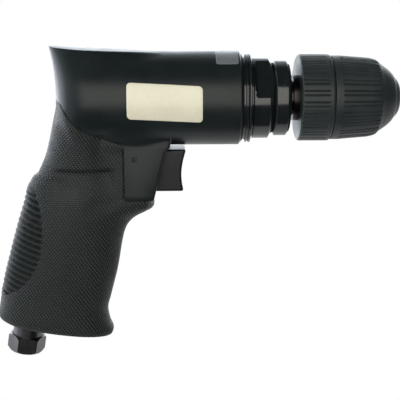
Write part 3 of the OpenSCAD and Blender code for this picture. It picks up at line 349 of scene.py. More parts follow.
BARREL_R = 23.3
BARREL_FRONT = -79.2
FRONT_BEVEL = (1.6, 1.8)
BEVEL_ROUND = ((0.25, 0.45), (0.2, 0.25))
CENTRE_R = 0.05
CASE_BORE_R = 20.3
CASE_BACK = -95.0
MOTOR_R = 18.2
MOTOR_FLOOR = -157.4
HOOD_BACK = 171.4
HOOD_FLARE = 2.7
HOOD_ROUND = 21.0
HOOD_POWER = 0.8
HOOD_MIDDLE = 0.1 * BARREL_R
HOOD_TALL = 0.945 * BARREL_R
PAD_HALF = 12.0
PAD_LENGTH = 59.0
PAD_TOP = 26.0
PAD_CROWN = 120.0
PAD_SLOPE = math.tan(math.radians(3.1))
PAD_EDGE = 0.9
PAD_SPREAD = 1.0
CROWN_PASSES = 4
HOOD_LEAST = 1.0
PAD_BACK = -(HOOD_BACK + HOOD_FLARE)
PAD_WIDTH_SHARES = [(0.0, 1.0), (0.4, 1.0), (0.52, 0.9), (0.66, 0.75), (0.8, 0.6), (0.92, 0.48),
                    (1.0, 0.33)]
SEAM = [(-171.6, 1.6), (-169.6, 1.0), (-167.8, -0.4), (-164.6, -5.4), (-161.8, -9.2), (-158.1, -12.7),
        (-153.4, -15.0), (-147.3, -17.5), (-140.7, -19.7), (-138.2, -20.7)]
UNDER_RUBBER = 2.4
SINK_RUN = (1.6, 2.4)


def hood_rear(z):
    """How far back the hood ends at a height, on its centre line."""
    level = (z - HOOD_MIDDLE) / HOOD_TALL
    return -HOOD_BACK - HOOD_FLARE * level * level


def crown_z(x, y):
    """Height of the pad's crown, which slopes down to the front."""
    return PAD_TOP - (x - PAD_BACK) * PAD_SLOPE - PAD_CROWN + math.sqrt(PAD_CROWN ** 2 - y * y)


def flank_touch(x):
    """The angle from the top at which the pad's flank meets the barrel; 0 where there is no flank."""
    half = PAD_HALF * curve_at(PAD_WIDTH_SHARES, max((x - PAD_BACK) / PAD_LENGTH, 0.0))
    height = crown_z(x, half)
    reach = math.hypot(half, height)
    if reach <= BARREL_R:
        return 0.0
    return math.atan2(half, height) + math.acos(BARREL_R / reach)


def crown_r(x, angle):
    """Distance from the axis to the pad's crown along one direction."""
    r = PAD_TOP
    for _ in range(CROWN_PASSES):
        r = crown_z(x, r * math.sin(angle)) / math.cos(angle)
    return r


def side_r(x, angle):
    """Distance from the axis to the barrel, the pad's crown or the flat flank between them."""
    touch = flank_touch(x)
    if abs(angle) >= touch or x > PAD_BACK + PAD_LENGTH:
        return BARREL_R
    flank = BARREL_R / math.cos(touch - abs(angle))
    if abs(angle) > PAD_SPREAD:
        return flank
    return max(-soft_max(-flank, -crown_r(x, angle), PAD_EDGE), BARREL_R)


def hood_half_width(z):
    """Half width of the hood at a height, up its round side and its flat flank."""
    touch = flank_touch(PAD_BACK + HOOD_ROUND)
    if z > BARREL_R * math.cos(touch):
        return max((BARREL_R - z * math.cos(touch)) / math.sin(touch), HOOD_LEAST)
    return math.sqrt(max(BARREL_R ** 2 - z * z, 0.0))


def rear_x(y, z):
    """The hood's rounded rear face."""
    half = hood_half_width(z)
    share = min(1.0, abs(y) / half) if half > 0.01 else 1.0
    return hood_rear(z) + HOOD_ROUND * (1 - (1 - share ** (2 / HOOD_POWER)) ** (HOOD_POWER / 2))


def seam_drop(x, z):
    """How far a point lies below the line where the rubber starts; negative above it."""
    return curve_at(SEAM, x) - z if x < SEAM[-1][0] else -1.0


def sunk(x, z):
    """1 where the shell is hidden under the rubber, 0 where it shows."""
    return ease(*SINK_RUN, seam_drop(x, z))


FINE_ARC = 48
FINE_STEPS = 2
COARSE_STEP = 3
degrees = [*range(-180, -FINE_ARC, COARSE_STEP)]
degrees += [k / FINE_STEPS for k in range(-FINE_ARC * FINE_STEPS, FINE_ARC * FINE_STEPS)]
degrees += [*range(FINE_ARC, 180, COARSE_STEP)]
angles = [math.radians(turn) for turn in degrees]

SIDE_ROWS = 120
EDGE_ROWS = 16
REAR_ROWS = 44
REAR_SHRINK = 0.995
REAR_POWER = 2.5
RIM_HALVINGS = 30
bore = [(MOTOR_FLOOR, CENTRE_R), (MOTOR_FLOOR, MOTOR_R), (CASE_BACK, MOTOR_R), (CASE_BACK, CASE_BORE_R),
        (BARREL_FRONT, CASE_BORE_R), (BARREL_FRONT, BARREL_R - FRONT_BEVEL[1]),
        (BARREL_FRONT - BEVEL_ROUND[0][0], BARREL_R - FRONT_BEVEL[1] + BEVEL_ROUND[0][1]),
        (BARREL_FRONT - FRONT_BEVEL[0] + BEVEL_ROUND[1][0], BARREL_R - BEVEL_ROUND[1][1])]
rings = [[(x, r * math.sin(a), r * math.cos(a)) for a in angles] for x, r in bore]


def end_r(x, start, a):
    """Distance from the axis to the side or the pad, behind the line where the hood turns in."""
    r = side_r(start, a)
    if abs(a) < PAD_SPREAD:
        r = max(BARREL_R, min(r + crown_r(x, a) - crown_r(start, a), r + HOOD_FLARE))
    return r


def rim_x(start, a):
    """Where the side or the pad meets the rounded rear face, found by halving."""
    near, far = start, PAD_BACK - HOOD_FLARE
    for _ in range(RIM_HALVINGS):
        x = (near + far) / 2
        r = end_r(x, start, a)
        if x > rear_x(r * math.sin(a), r * math.cos(a)):
            near = x
        else:
            far = x
    return near


edges = []
for a in angles:
    start = hood_rear(side_r(PAD_BACK + HOOD_ROUND, a) * math.cos(a)) + HOOD_ROUND
    edges.append((start, rim_x(start, a)))
for row in range(SIDE_ROWS + EDGE_ROWS + 1):
    ring = []
    for a, (start, end) in zip(angles, edges):
        if row <= SIDE_ROWS:
            x = blend(BARREL_FRONT - FRONT_BEVEL[0], start, row / SIDE_ROWS)
            r = side_r(x, a)
        else:
            x = blend(start, end, (row - SIDE_ROWS) / EDGE_ROWS)
            r = end_r(x, start, a)
        r -= UNDER_RUBBER * sunk(x, r * math.cos(a))
        ring.append((x, r * math.sin(a), r * math.cos(a)))
    rings.append(ring)
rear_edge = rings[-1]
for row in range(1, REAR_ROWS + 1):
    s = 1 - REAR_SHRINK * (row / REAR_ROWS) ** REAR_POWER
    ring = []
    for _, y, z in rear_edge:
        x = rear_x(y * s, z * s)
        ring.append((x + UNDER_RUBBER * sunk(x, z * s), y * s, z * s))
    rings.append(ring)
housing = shape("housing_shell", rings, True, True, sharp=28)

COLUMN_FRONT = -117.3
COLUMN_SEAM = -138.2
COLUMN_TOP = 25.0
COLUMN_LEAN = math.tan(math.radians(13.6))
COLUMN_DROP = 49.9
COLUMN_HALF = 14.6
COLUMN_CORNER = 1.3
COLUMN_EDGE = 0.5
PANEL_CROWN = 2.4
COLUMN_FILLET = 7.5
EDGE_FILLET = 1.6
COLUMN_HIDE = 0.05
COLUMN_RUN_OUT = 1.6
COLUMN_UNDER_LIP = 2.5
COLUMN_LIMIT = -152.0
REAR_STEP = 0.25
REAR_PROBE = 0.1
PANEL_STEPS = 12
CORNER_STEPS = 8
FILLET_IN = (0.0, 0.4)
FILLET_OUT = (0.5, 1.0)
CROWN_RUN = (14.0, 42.0)


def lean(z):
    """The column's plain leaning front plane."""
    return COLUMN_FRONT - (-z - COLUMN_TOP) * COLUMN_LEAN


def column_front(z):
    """The column's leaning front face, with a fillet under the barrel."""
    return lean(z) + COLUMN_RUN_OUT * math.exp(-max(-z - BARREL_R, 0.0))


def column_rear(z):
    """The panel's rear edge; above the seam's end it runs back under the rubber's lip."""
    x = COLUMN_SEAM
    while seam_drop(x - REAR_PROBE, z) < COLUMN_UNDER_LIP and x > COLUMN_LIMIT:
        x -= REAR_STEP
    return x


def column_half(z, share):
    """Half width of the column; its fillet to the barrel fades out towards both edges."""
    barrel = math.sqrt(max(BARREL_R ** 2 - z * z, 0.0))
    fillet = blend(EDGE_FILLET, COLUMN_FILLET, ease(*FILLET_IN, share) * (1 - ease(*FILLET_OUT, share)))
    crown = PANEL_CROWN * ease(*CROWN_RUN, -z) * share * (1 - share)
    return soft_max(COLUMN_HALF, barrel, fillet) - COLUMN_HIDE + crown


def column_ring(z, inset):
    """One level outline of the column, with round front corners."""
    front = column_front(z) - inset
    rear = column_rear(z)
    points = [(rear, column_half(z, 0.0) - inset - COLUMN_EDGE, z)]
    for k in range(PANEL_STEPS + 1):
        s = k / PANEL_STEPS
        points.append((blend(rear + COLUMN_EDGE, front - COLUMN_CORNER, s), column_half(z, s) - inset, z))
    half = column_half(z, 1.0) - inset
    for k in range(1, CORNER_STEPS + 1):
        a = math.radians(90 - 90 * k / CORNER_STEPS)
        points.append((front - COLUMN_CORNER * (1 - math.cos(a)),
                       half - COLUMN_CORNER * (1 - math.sin(a)), z))
    return points + [(x, -y, z) for x, y, z in reversed(points)]


FILLET_LEVELS = [-12.0 - 0.55 * i for i in range(30)]
PANEL_LEVELS = [-29.0 - 2.0 * i for i in range(10)]
FOOT_ROUND = [(0.7, 0.0), (0.25, 0.2), (0.0, 0.7)]
levels = [(z, 0.0) for z in FILLET_LEVELS + PANEL_LEVELS]
levels += [(rise - COLUMN_DROP, inset) for rise, inset in FOOT_ROUND]
column = shape("column", [column_ring(z, inset) for z, inset in levels], True, True, sharp=28)

TRIGGER_TOP = -25.0
TRIGGER_H = 21.3
TRIGGER_HALF = 8.0
POCKET_GAP = 0.3
POCKET_DEEP = 8.3
POCKET_AHEAD = 9.0
PIN_PLACE = (-132.8, -28.6)
PIN_R = 1.2


def pocket_ring(z):
    """One level of the trigger's pocket, open at the front."""
    half = TRIGGER_HALF + POCKET_GAP
    back, front = lean(z) - POCKET_DEEP, lean(z) + POCKET_AHEAD
    return [(back, half, z), (front, half, z), (front, -half, z), (back, -half, z)]


def across(y, r, place, count=32):
    """A circle square to the Y axis."""
    turns = [2 * math.pi * k / count for k in range(count)]
    return [(place[0] + r * math.cos(a), y, place[1] + r * math.sin(a)) for a in turns]


MOTOR_WALL = 0.6
room_r = MOTOR_R + MOTOR_WALL
motor_room = [[(x, room_r * math.sin(a), room_r * math.cos(a)) for a in angles]
              for x in (MOTOR_FLOOR, CASE_BACK)]
cut(column, shape("motor_room", motor_room, True, True))
pocket_levels = (TRIGGER_TOP + POCKET_GAP, TRIGGER_TOP - TRIGGER_H - POCKET_GAP)
cut(column, shape("pocket", [pocket_ring(z) for z in pocket_levels], True, True))
PIN_SINK = (1.35, 1.0)
SINK_OVERRUN = 1.0
for side in (-1, 1):
    ends = (side * (COLUMN_HALF + SINK_OVERRUN), side * (COLUMN_HALF - PIN_SINK[1]))
    cut(column, shape("sink", [across(y, PIN_SINK[0], PIN_PLACE) for y in ends], True, True))
join(housing, column)
finish_mesh(housing, sharp=28)
BODY_BLACK = moulded_plastic("black_nylon", (0.0096, 0.0136, 0.0152), (0.0148, 0.0198, 0.0218),
                             rough=0.34)
settle(housing, BODY_BLACK, "body", "housing_plastic", "housing")


# Grip sleeve: soft dark rubber moulded over the handle, with a fine raised diamond knurl, a
# ledge for the thumb, round ribs down the back and a lip that fits into the housing's seam.
GRIP_DROP = 123.0
GRIP_SWEEP = 34.4
GRIP_REACH = 47.8
GRIP_HALF = 18.0
GRIP_POWER = 0.82
# Sections from the top down: rear point (back, drop), front point (reach, low), width and taper.
GRIP_SHARES = [
    (0, -0.008, 0.745, 0.183, 1.23, 0.36), (0.023, 0.041, 0.787, 0.220, 1.15, 0.33),
    (0.076, 0.106, 0.810, 0.276, 1.05, 0.27), (0.137, 0.179, 0.830, 0.341, 0.98, 0.22),
    (0.195, 0.232, 0.900, 0.398, 0.95, 0.2), (0.257, 0.271, 0.996, 0.423, 0.94, 0.2),
    (0.312, 0.302, 0.996, 0.447, 0.95, 0.2), (0.382, 0.335, 0.925, 0.466, 0.965, 0.2),
    (0.449, 0.367, 0.808, 0.490, 0.985, 0.18), (0.500, 0.401, 0.730, 0.518, 1, 0.16),
    (0.548, 0.436, 0.682, 0.555, 1.01, 0.15), (0.630, 0.504, 0.646, 0.614, 1.017, 0.14),
    (0.706, 0.573, 0.621, 0.671, 1.01, 0.13), (0.778, 0.644, 0.592, 0.728, 1, 0.12),
    (0.854, 0.717, 0.554, 0.785, 0.99, 0.1), (0.918, 0.793, 0.515, 0.842, 0.978, 0.08),
    (0.971, 0.866, 0.479, 0.898, 0.967, 0.06), (1, 0.903, 0.498, 0.953, 0.956, 0.05),
    (0.982, 0.924, 0.534, 0.990, 0.92, 0.05), (0.925, 0.937, 0.523, 1.009, 0.86, 0.05)]
RIB_TOP = (-187.9, -46.4)
RIB_LEAN = math.tan(math.radians(19))
RIB_PITCH = 3.22
RIB_COUNT = 18
RIB_DEPTH = 1.7
RIB_SINK = -0.25
RIB_EDGE = [(-102.0, -206.0), (-98.3, -196.7), (-94.1, -190.1), (-86.2, -184.0), (-77.8, -180.4),
            (-67.4, -178.6), (-61.7, -178.5), (-52.5, -179.6), (-46.0, -181.6), (-42.5, -184.5),
            (-41.0, -192.0)]
LEDGE_Z = -34.4
LEDGE_DEPTH = 2.1
LIP_PROUD = 0.45
LIP_ROOT = 0.7
LIP_RISE = 1.5
LIP_FADE = (1.0, 15.0)
LIP_FRONT = (-158.0, -147.0)
FLUSH_X = (-160.0, -141.0)
FLUSH_Z = (50.0, 61.0)
FLUSH_DROP = (2.0, 8.0)
FLUSH_FULL = 1.75
FLUSH_SINK = 0.35
PANEL_ROOM = 1.0
PANEL_GAP = 0.1
PANEL_FOOT = 0.4
LEDGE_BACK = (-174.0, -168.0)
LEDGE_FRONT = (-145.0, -141.5)
LEDGE_STEP = (-1.6, 0.9)
LEDGE_FADE = 13.0
BUMP_HIGH = 1.5
BUMP_ROUND = (0.4, 0.9)
BUMP_TOP = (37.0, 39.6)
BUMP_END = (40.0, 54.0)
SIDE_PUSH = 1.2


def grip_section(t):
    """The grip's shares at a level, on smooth curves through the listed sections."""
    last = len(GRIP_SHARES) - 1
    i = min(max(int(math.floor(t)), 0), last - 1)
    s = t - i
    rows = [GRIP_SHARES[min(max(j, 0), last)] for j in (i - 1, i, i + 1, i + 2)]
    if s < 0:
        return [b + (c - b) * s for a, b, c, d in zip(*rows)]
    return [b + 0.5 * s * (c - a + s * (2 * a - 5 * b + 4 * c - d + s * (3 * (b - c) + d - a)))
            for a, b, c, d in zip(*rows)]


def grip_plain(t, a):
    """A point of the plain grip: level t, angle a from the front."""
    back, drop, reach, low, wide, thin = grip_section(t)
    p = (-HOOD_BACK - back * GRIP_SWEEP, -drop * GRIP_DROP)
    q = (-HOOD_BACK + reach * GRIP_REACH, -low * GRIP_DROP)
    c = signed_power(math.cos(a), GRIP_POWER)
    s = signed_power(math.sin(a), GRIP_POWER)
    x = (p[0] + q[0]) / 2 + (q[0] - p[0]) / 2 * c
    z = (p[1] + q[1]) / 2 + (q[1] - p[1]) / 2 * c
    return x, wide * GRIP_HALF * s * (1 - thin * max(c, 0.0)), z, c, s


def house_y(x, z):
    """Half width of the barrel and hood at a point of the side view."""
    if abs(z) >= BARREL_R:
        return 0.0
    half = hood_half_width(z)
    share = (x - hood_rear(z)) / HOOD_ROUND
    if share >= 1:
        return half
    return half * (1 - (1 - max(share, 0.0)) ** (2 / HOOD_POWER)) ** (HOOD_POWER / 2)


def rib_share(x, z):
    """1 inside the ribbed field at the back of the grip, 0 outside."""
    if not RIB_EDGE[0][0] < z < RIB_EDGE[-1][0]:
        return 0.0
    return ease(0.0, 1.0, curve_at(RIB_EDGE, z) - x)


def seam_depth(x, z):
    """How far a point of the grip lies below the rubber's upper edge, also beyond the seam's end."""
    return seam_drop(x, z) if x < SEAM[-1][0] else SEAM[-1][1] - z


def grip_half(x, half, z, s):
    """Half width of the rubber: a lip on the shell, flush with the panel, then the plain grip."""
    drop = seam_depth(x, z)
    shell = house_y(x, max(z, curve_at(SEAM, x) - LIP_RISE))
    lip = soft_max(shell, COLUMN_HALF * ease(*LIP_FRONT, x), EDGE_FILLET)
    lip += LIP_PROUD - (LIP_PROUD + LIP_ROOT) * (1 - ease(0.0, LIP_RISE, drop))
    half = blend(lip, half, ease(*LIP_FADE, drop))
    flush = ease(*FLUSH_X, x) * (1 - ease(*FLUSH_Z, -z)) * ease(*FLUSH_DROP, drop)
    half = blend(half, (COLUMN_HALF - FLUSH_SINK) * min(1.0, FLUSH_FULL * abs(s)), flush)
    if x > COLUMN_SEAM - PANEL_GAP and z > PANEL_FOOT - COLUMN_DROP:
        half = min(half, COLUMN_HALF - PANEL_ROOM)
    return half


def rib_push(x, z):
    """How far the round ribs lift or sink the surface."""
    rib = rib_share(x, z)
    phase = (RIB_TOP[1] - z + (RIB_TOP[0] - x) * RIB_LEAN) / RIB_PITCH
    off = abs(phase - round(phase)) * 2
    depth = RIB_DEPTH * off * off if -0.5 < phase < RIB_COUNT - 0.5 else 0.0
    return -rib * (RIB_SINK + depth)


def grip_point(t, a):
    """A point of the finished grip, with its lip, ribs, ledge and the bump at the back."""
    x, y, z, c, s = grip_plain(t, a)
    y = math.copysign(grip_half(x, abs(y), z, s), s)
    below = LEDGE_Z - z
    ledge = ease(*LEDGE_BACK, x) * (1 - ease(*LEDGE_FRONT, x))
    push = rib_push(x, z)
    push -= LEDGE_DEPTH * ledge * ease(*LEDGE_STEP, below) * (1 - ease(LEDGE_STEP[1], LEDGE_FADE, below))
    push += BUMP_HIGH * ease(*BUMP_ROUND, -c) * ease(*BUMP_TOP, -z) * (1 - ease(*BUMP_END, -z))
    nx, ny = c, s * SIDE_PUSH
    length = math.hypot(nx, ny)
    return x + push * nx / length, y + push * ny / length, z


LEVEL_FIRST = -0.9
LEVEL_LAST = 5.0
LEVEL_STEP = 0.01


def seam_level(a):
    """The level at which the grip meets the seam at an angle."""
    t = LEVEL_FIRST
    while t < LEVEL_LAST:
        x, _, z, _, _ = grip_plain(t, a)
        if seam_depth(x, z) >= 0:
            return t
        t += LEVEL_STEP
    return LEVEL_LAST


AROUND = 160
TOP_ROWS = 70
REST_START = 5.5
RIBBED_START = 8.6
RIBBED_END = 16.2
FOOT_LEVEL = 19.0
rest = []
for first, last, rows in ((REST_START, RIBBED_START, 24), (RIBBED_START, RIBBED_END, 190),
                          (RIBBED_END, FOOT_LEVEL, 26)):
    rest += [first + (last - first) * i / rows for i in range(1, rows + 1)]
grip_angles = [2 * math.pi * k / AROUND for k in range(AROUND)]
starts = [seam_level(a) for a in grip_angles]
rings = []
for row in range(TOP_ROWS + 1):
    ts = [blend(start, REST_START, row / TOP_ROWS) for start in starts]
    rings.append([grip_point(t, a) for t, a in zip(ts, grip_angles)])
for t in rest:
    rings.append([grip_point(t, a) for a in grip_angles])
FOOT_RIM = 2.2
FOOT_SINK = 0.6
foot = rings[-1]
middle = [sum(p[i] for p in foot) / AROUND for i in range(3)]


def toward_middle(p, rim, rise):
    """A point of the foot's rim moved in by a distance and up by another."""
    s = 1 - rim / math.dist(p, middle)
    return tuple(middle[i] + (p[i] - middle[i]) * s + (rise if i == 2 else 0.0) for i in range(3))


rings.append([toward_middle(p, FOOT_RIM, 0.0) for p in foot])
rings.append([toward_middle(p, FOOT_RIM, FOOT_SINK) for p in foot])
grip = shape("grip_rubber", rings, False, True, sharp=40)

FOOT_RINGS = 4
SMOOTH_LIP = (0.8, 2.2)
SMOOTH_END = -139.0


def smooth_share(x, z):
    """1 where the rubber has no knurl: on the ribs and along the lip."""
    lip = 1 - ease(*SMOOTH_LIP, seam_drop(x, z)) if x < SMOOTH_END else 0.0
    return max(rib_share(x, z), lip)


smooth = grip.data.attributes.new("smooth_rubber", "FLOAT", "POINT")
plain_from = (len(rings) - FOOT_RINGS) * AROUND
for i, (x, _, z) in enumerate(p for ring in rings for p in ring):
    smooth.data[i].value = 1.0 if i >= plain_from else smooth_share(x, z)

KNURL_ACROSS = 1.7 * MM
KNURL_ALONG = 2.1 * MM
KNURL_TURN = 12.5
GRIP_MIDDLE = -153.0
GRIP_LEAN = 0.2
RUBBER, shader, place = new_material("soft_rubber", Specular_IOR_Level=0.33)
x, y, z = (place.node("ShaderNodeSeparateXYZ", {}, {0: place}, axis) for axis in range(3))
aside = x - z * GRIP_LEAN - GRIP_MIDDLE * MM
u = aside + aside.math("SIGN") * (KNURL_TURN * MM - y.math("ABSOLUTE")).math("MAXIMUM", 0.0)
waves = [((u * (1 / KNURL_ACROSS) + z * (sign / KNURL_ALONG)) * (2 * math.pi)).math("COSINE")
         for sign in (1, -1)]
plain = make(place.tree, "ShaderNodeAttribute", {"attribute_name": "smooth_rubber"}, {}, "Fac")
dots = ((waves[0] + waves[1]) * 0.5).ramp(0.0, 0.9) * (1.0 - plain)
dust = noise(place, scale=90.0, detail=4.0)
# The knurl's raised dots are painted lighter and the rubber between them darker: a painted highlight on
# the dots and painted shade in the hollows, added to the dust's random tone.
knurl_highlight_and_dust = dots * 0.7 + dust * 0.3
feed(shader, "Base Color", knurl_highlight_and_dust.ramp(0.1, 0.8).mix((0.0083, 0.0110, 0.0115), (0.0575, 0.0667, 0.0644)))
feed(shader, "Roughness", dust.ramp(0.3, 0.7, 0.50, 0.62))
emboss(shader, dots + noise(place, scale=2500.0, detail=1.0) * 0.15, distance=0.28 * MM, strength=0.9)
settle(grip, RUBBER, "body", "grip_rubber", "grip_sleeve")


# Stickers: two blank printed labels under a clear film, a cream one on the side of the
# barrel and a small grey one near its front, wrapped round the curve.
LABEL_T = 0.22
LABEL_EDGE = 0.12
LABEL_BEVEL = 0.6
LABEL_SINK = 0.1
LABEL_STEP = 1.2
LABEL_RINGS = 14
LABEL_CENTRE = 0.002
LABEL_CORNER_STEPS = 8


def sticker(name, place, rise, size, corner, tilt, material, slot, node):
    """A label with round corners, wrapped on the barrel; rise is its angle above the side."""
    length, height = size
    outline = []
    for sx, sy, first in ((1, 1, 0), (-1, 1, 90), (-1, -1, 180), (1, -1, 270)):
        for k in range(LABEL_CORNER_STEPS + 1):
            a = math.radians(first + 90 * k / LABEL_CORNER_STEPS)
            outline.append((sx * (length / 2 - corner) + corner * math.cos(a),
                            sy * (height / 2 - corner) + corner * math.sin(a)))
    dense = []
    for i, p in enumerate(outline):
        q = outline[(i + 1) % len(outline)]
        parts = max(1, int(math.dist(p, q) / LABEL_STEP))
        dense += [(blend(p[0], q[0], j / parts), blend(p[1], q[1], j / parts)) for j in range(parts)]

    def wrapped(share, r):
        ring = []
        for along, up in dense:
            a = rise + (up + along * tilt) * share / BARREL_R
            ring.append((place + along * share, -r * math.cos(a), r * math.sin(a)))
        return ring

    shares = [max(j / LABEL_RINGS, LABEL_CENTRE) for j in range(LABEL_RINGS + 1)]
    rings = [wrapped(share, BARREL_R + LABEL_T) for share in shares]
    edge = 1 + LABEL_EDGE / (height / 2)
    rings += [wrapped(edge, BARREL_R + LABEL_T * LABEL_BEVEL), wrapped(edge, BARREL_R - LABEL_SINK)]
    label = shape(name, rings, True, False, sharp=50)
    settle(label, material, "body", slot, node)


def printed_film(name, dark, light):
    """Printed paper tone under a clear film that lies a little uneven."""
    material, shader, place = new_material(name, Coat_Weight=0.35, Coat_Roughness=0.25)
    fibre = noise(place, scale=700.0, detail=4.0)
    cloud = noise(place, scale=45.0, detail=3.0)
    feed(shader, "Base Color", (fibre * 0.35 + cloud * 0.65).ramp(0.3, 0.7).mix(dark, light))
    feed(shader, "Roughness", cloud.ramp(0.3, 0.7, 0.4, 0.52))
    emboss(shader, noise(place, scale=160.0, detail=2.0), distance=0.05 * MM, strength=0.3)
    return material


NAME_FILM = printed_film("cream_film", (0.82, 0.77, 0.60), (0.90, 0.86, 0.695))
GREY_FILM = printed_film("grey_film", (0.150, 0.163, 0.178), (0.205, 0.22, 0.236))
sticker("name_film", place=-117.4, rise=math.radians(0.6), size=(35.8, 17.6), corner=2.0, tilt=-0.055,
        material=NAME_FILM, slot="name_sticker", node="name_plate")
sticker("side_film", place=-87.0, rise=math.radians(70), size=(10.8, 16.0), corner=1.2, tilt=0.0,
        material=GREY_FILM, slot="grey_sticker", node="side_label")


# Front end: the turned gear case screws into the barrel, with a thin flange, a grooved collar
# that two wrench flats cut, and the bearing cap on its nose, all steel with a gloss black finish.
def rounded(profile, radius, steps=4):
    """An open outline with its inner corners rounded."""
    points = [profile[0]]
    for a, b, c in zip(profile, profile[1:], profile[2:]):
        cut_a = min(radius, 0.45 * math.dist(a, b)) / max(math.dist(a, b), 1e-9)
        cut_c = min(radius, 0.45 * math.dist(b, c)) / max(math.dist(b, c), 1e-9)
        p = (blend(b[0], a[0], cut_a), blend(b[1], a[1], cut_a))
        q = (blend(b[0], c[0], cut_c), blend(b[1], c[1], cut_c))
        for k in range(steps + 1):
            s = k / steps
            points.append(tuple(blend(blend(p[i], b[i], s), blend(b[i], q[i], s), s) for i in (0, 1)))
    return points + [profile[-1]]


def turned(name, profile, count, radius_at=None, sharp=32):
    """A piece turned about the tool's axis from (distance back, radius) points."""
    rings = []
    for back, r in profile:
        ring = []
        for k in range(count):
            a = 2 * math.pi * k / count
            here = radius_at(back, a, r) if radius_at else r
            ring.append((-back, -here * math.cos(a), here * math.sin(a)))
        rings.append(ring)
    return shape(name, rings, False, False, sharp=sharp)


def finely(profile, step):
    """The same outline with points no further apart than a step."""
    points = []
    for p, q in zip(profile, profile[1:]):
        parts = max(1, int(math.dist(p, q) / step))
        points += [(blend(p[0], q[0], j / parts), blend(p[1], q[1], j / parts)) for j in range(parts)]
    return points + [profile[-1]]


FLAT_AT = 17.4
FLAT_TURN = math.radians(37)
FLAT_END = 72.0
FLAT_RUN_OUT = 1.6
CUTTER_RISE = 3.2
FLAT_SPREAD = 0.5


def wrench_flats(back, angle, r):
    """Cuts the two flats, which run out in the round of the cutter."""
    s = min(1.0, max(0.0, (back - FLAT_END) / FLAT_RUN_OUT))
    depth = FLAT_AT + CUTTER_RISE * (1 - math.sqrt(max(0.0, 1 - s * s))) if s < 1 else r
    side = abs(math.cos(angle - FLAT_TURN))
    return min(r, depth / side) if side > FLAT_SPREAD and r > FLAT_AT else r


CASE_PROFILE = [(58.6, 16.0), (58.6, 17.2), (63.8, 17.2), (66.2, 20.3), (74.2, 20.3), (74.2, 19.4),
                (75.2, 19.4), (75.2, 22.4), (76.3, 22.4), (76.5, 21.7), (76.8, 21.7), (77.0, 22.4),
                (78.1, 22.4), (78.1, 21.0), (79.6, 21.0), (79.6, 20.2), (95.0, 20.2), (95.0, 16.0),
                (58.6, 16.0)]
CAP_PROFILE = [(55.7, 10.1), (55.7, 17.5), (57.2, 19.0), (62.8, 19.0), (63.7, 18.1), (63.7, 17.3),
               (58.2, 17.3), (58.2, 10.1), (55.7, 10.1)]
case_outline = finely(rounded(CASE_PROFILE, radius=0.35), step=0.5)
case = turned("gear_case_black", case_outline, count=240, radius_at=wrench_flats, sharp=28)
cap_outline = finely(rounded(CAP_PROFILE, radius=0.4), step=1.0)
cap = turned("bearing_cap_black", cap_outline, count=160, sharp=28)


def turned_finish(name, dark, light, rough, metallic):
    """Turning marks round the tool's axis, under an even finish."""
    material, shader, place = new_material(name, Metallic=metallic, Specular_IOR_Level=0.5)
    stretched = place.node("ShaderNodeMapping", {}, {"Vector": place, "Scale": (1.0, 0.02, 0.02)})
    marks = noise(stretched, scale=5000.0, detail=2.0)
    cloud = noise(place, scale=120.0, detail=3.0)
    feed(shader, "Base Color", (marks * 0.5 + cloud * 0.5).ramp(0.3, 0.7).mix(dark, light))
    feed(shader, "Roughness", (marks * 0.6 + cloud * 0.4).ramp(0.25, 0.75, rough - 0.05, rough + 0.06))
    emboss(shader, marks, distance=0.01 * MM, strength=0.25)
    return material


GLOSS_BLACK = turned_finish("gloss_black_steel", (0.0080, 0.0104, 0.0118), (0.0122, 0.0154, 0.0172),
                            rough=0.16, metallic=0.0)
settle(case, GLOSS_BLACK, "body", "black_metal", "gear_case")
settle(cap, GLOSS_BLACK, "body", "black_metal", "bearing_cap")


# Chuck: two ribbed sleeves of black nylon over a blackened steel body. The front one turns
# to close the jaws, and the rear one is held; wide and narrow ribs alternate round both.
RIB_REPEATS = 24
RIB_SPLIT = 0.62
GROOVE_HALF = 0.42
GROOVE_DEPTH = 0.8
GROOVE_WALL = (0.25 * GROOVE_HALF, 1.3 * GROOVE_HALF)


def ribbed(near, far):
    """Cuts grooves with round ends between two distances back, wide and narrow by turns."""
    def radius_at(back, angle, r):
        share = (angle / (2 * math.pi) * RIB_REPEATS) % 1.0
        pitch = 2 * math.pi * r / RIB_REPEATS
        aside = min(share, 1 - share, abs(share - RIB_SPLIT)) * pitch
        beyond = max(near - back, back - far, 0.0)
        return r - GROOVE_DEPTH * (1 - ease(*GROOVE_WALL, math.hypot(aside, beyond)))
    return radius_at


CHUCK_R = 21.6
FRONT_RIBS = (11.8, 30.6)
REAR_RIBS = (38.0, 49.8)
SLEEVE_L = 34.8
CHUCK_COUNT = 576
SLEEVE_END = 34.68
FRONT_SHARES = [(0.072, 0.50), (0.111, 0.585), (0.17, 0.668), (0.228, 0.735), (0.287, 0.80),
                (0.33, 0.862), (0.355, 0.884), (0.40, 0.903), (0.46, 0.919), (0.88, 0.972)]
NOSE_LIP = [(2.6, 9.6), (0.15, 7.6), (0.15, 7.9), (1.2, 9.5)]
FRONT_BORE = [(SLEEVE_END, 14.8), (30.5, 14.8), (30.5, 17.0), (17.5, 17.0), (17.5, 16.4), (12.1, 16.4),
              (12.1, 11.8), (4.8, 9.6), (2.6, 9.6)]
REAR_PROFILE = [(34.9, 15.2), (34.9, 20.9), (35.7, 21.6), (50.2, 21.6), (51.0, 20.9), (51.0, 11.5),
                (50.9, 11.5), (50.9, 15.2), (34.9, 15.2)]
front_outer = [(back * SLEEVE_L, r * CHUCK_R) for back, r in FRONT_SHARES]
front_outer.append((SLEEVE_END, FRONT_SHARES[-1][1] * CHUCK_R))
front_profile = finely(rounded(NOSE_LIP + front_outer + FRONT_BORE, radius=0.5), step=0.6)
front_sleeve = turned("front_sleeve_ribbed", front_profile, count=CHUCK_COUNT,
                      radius_at=ribbed(*FRONT_RIBS), sharp=30)
rear_profile = finely(rounded(REAR_PROFILE, radius=0.4), step=0.6)
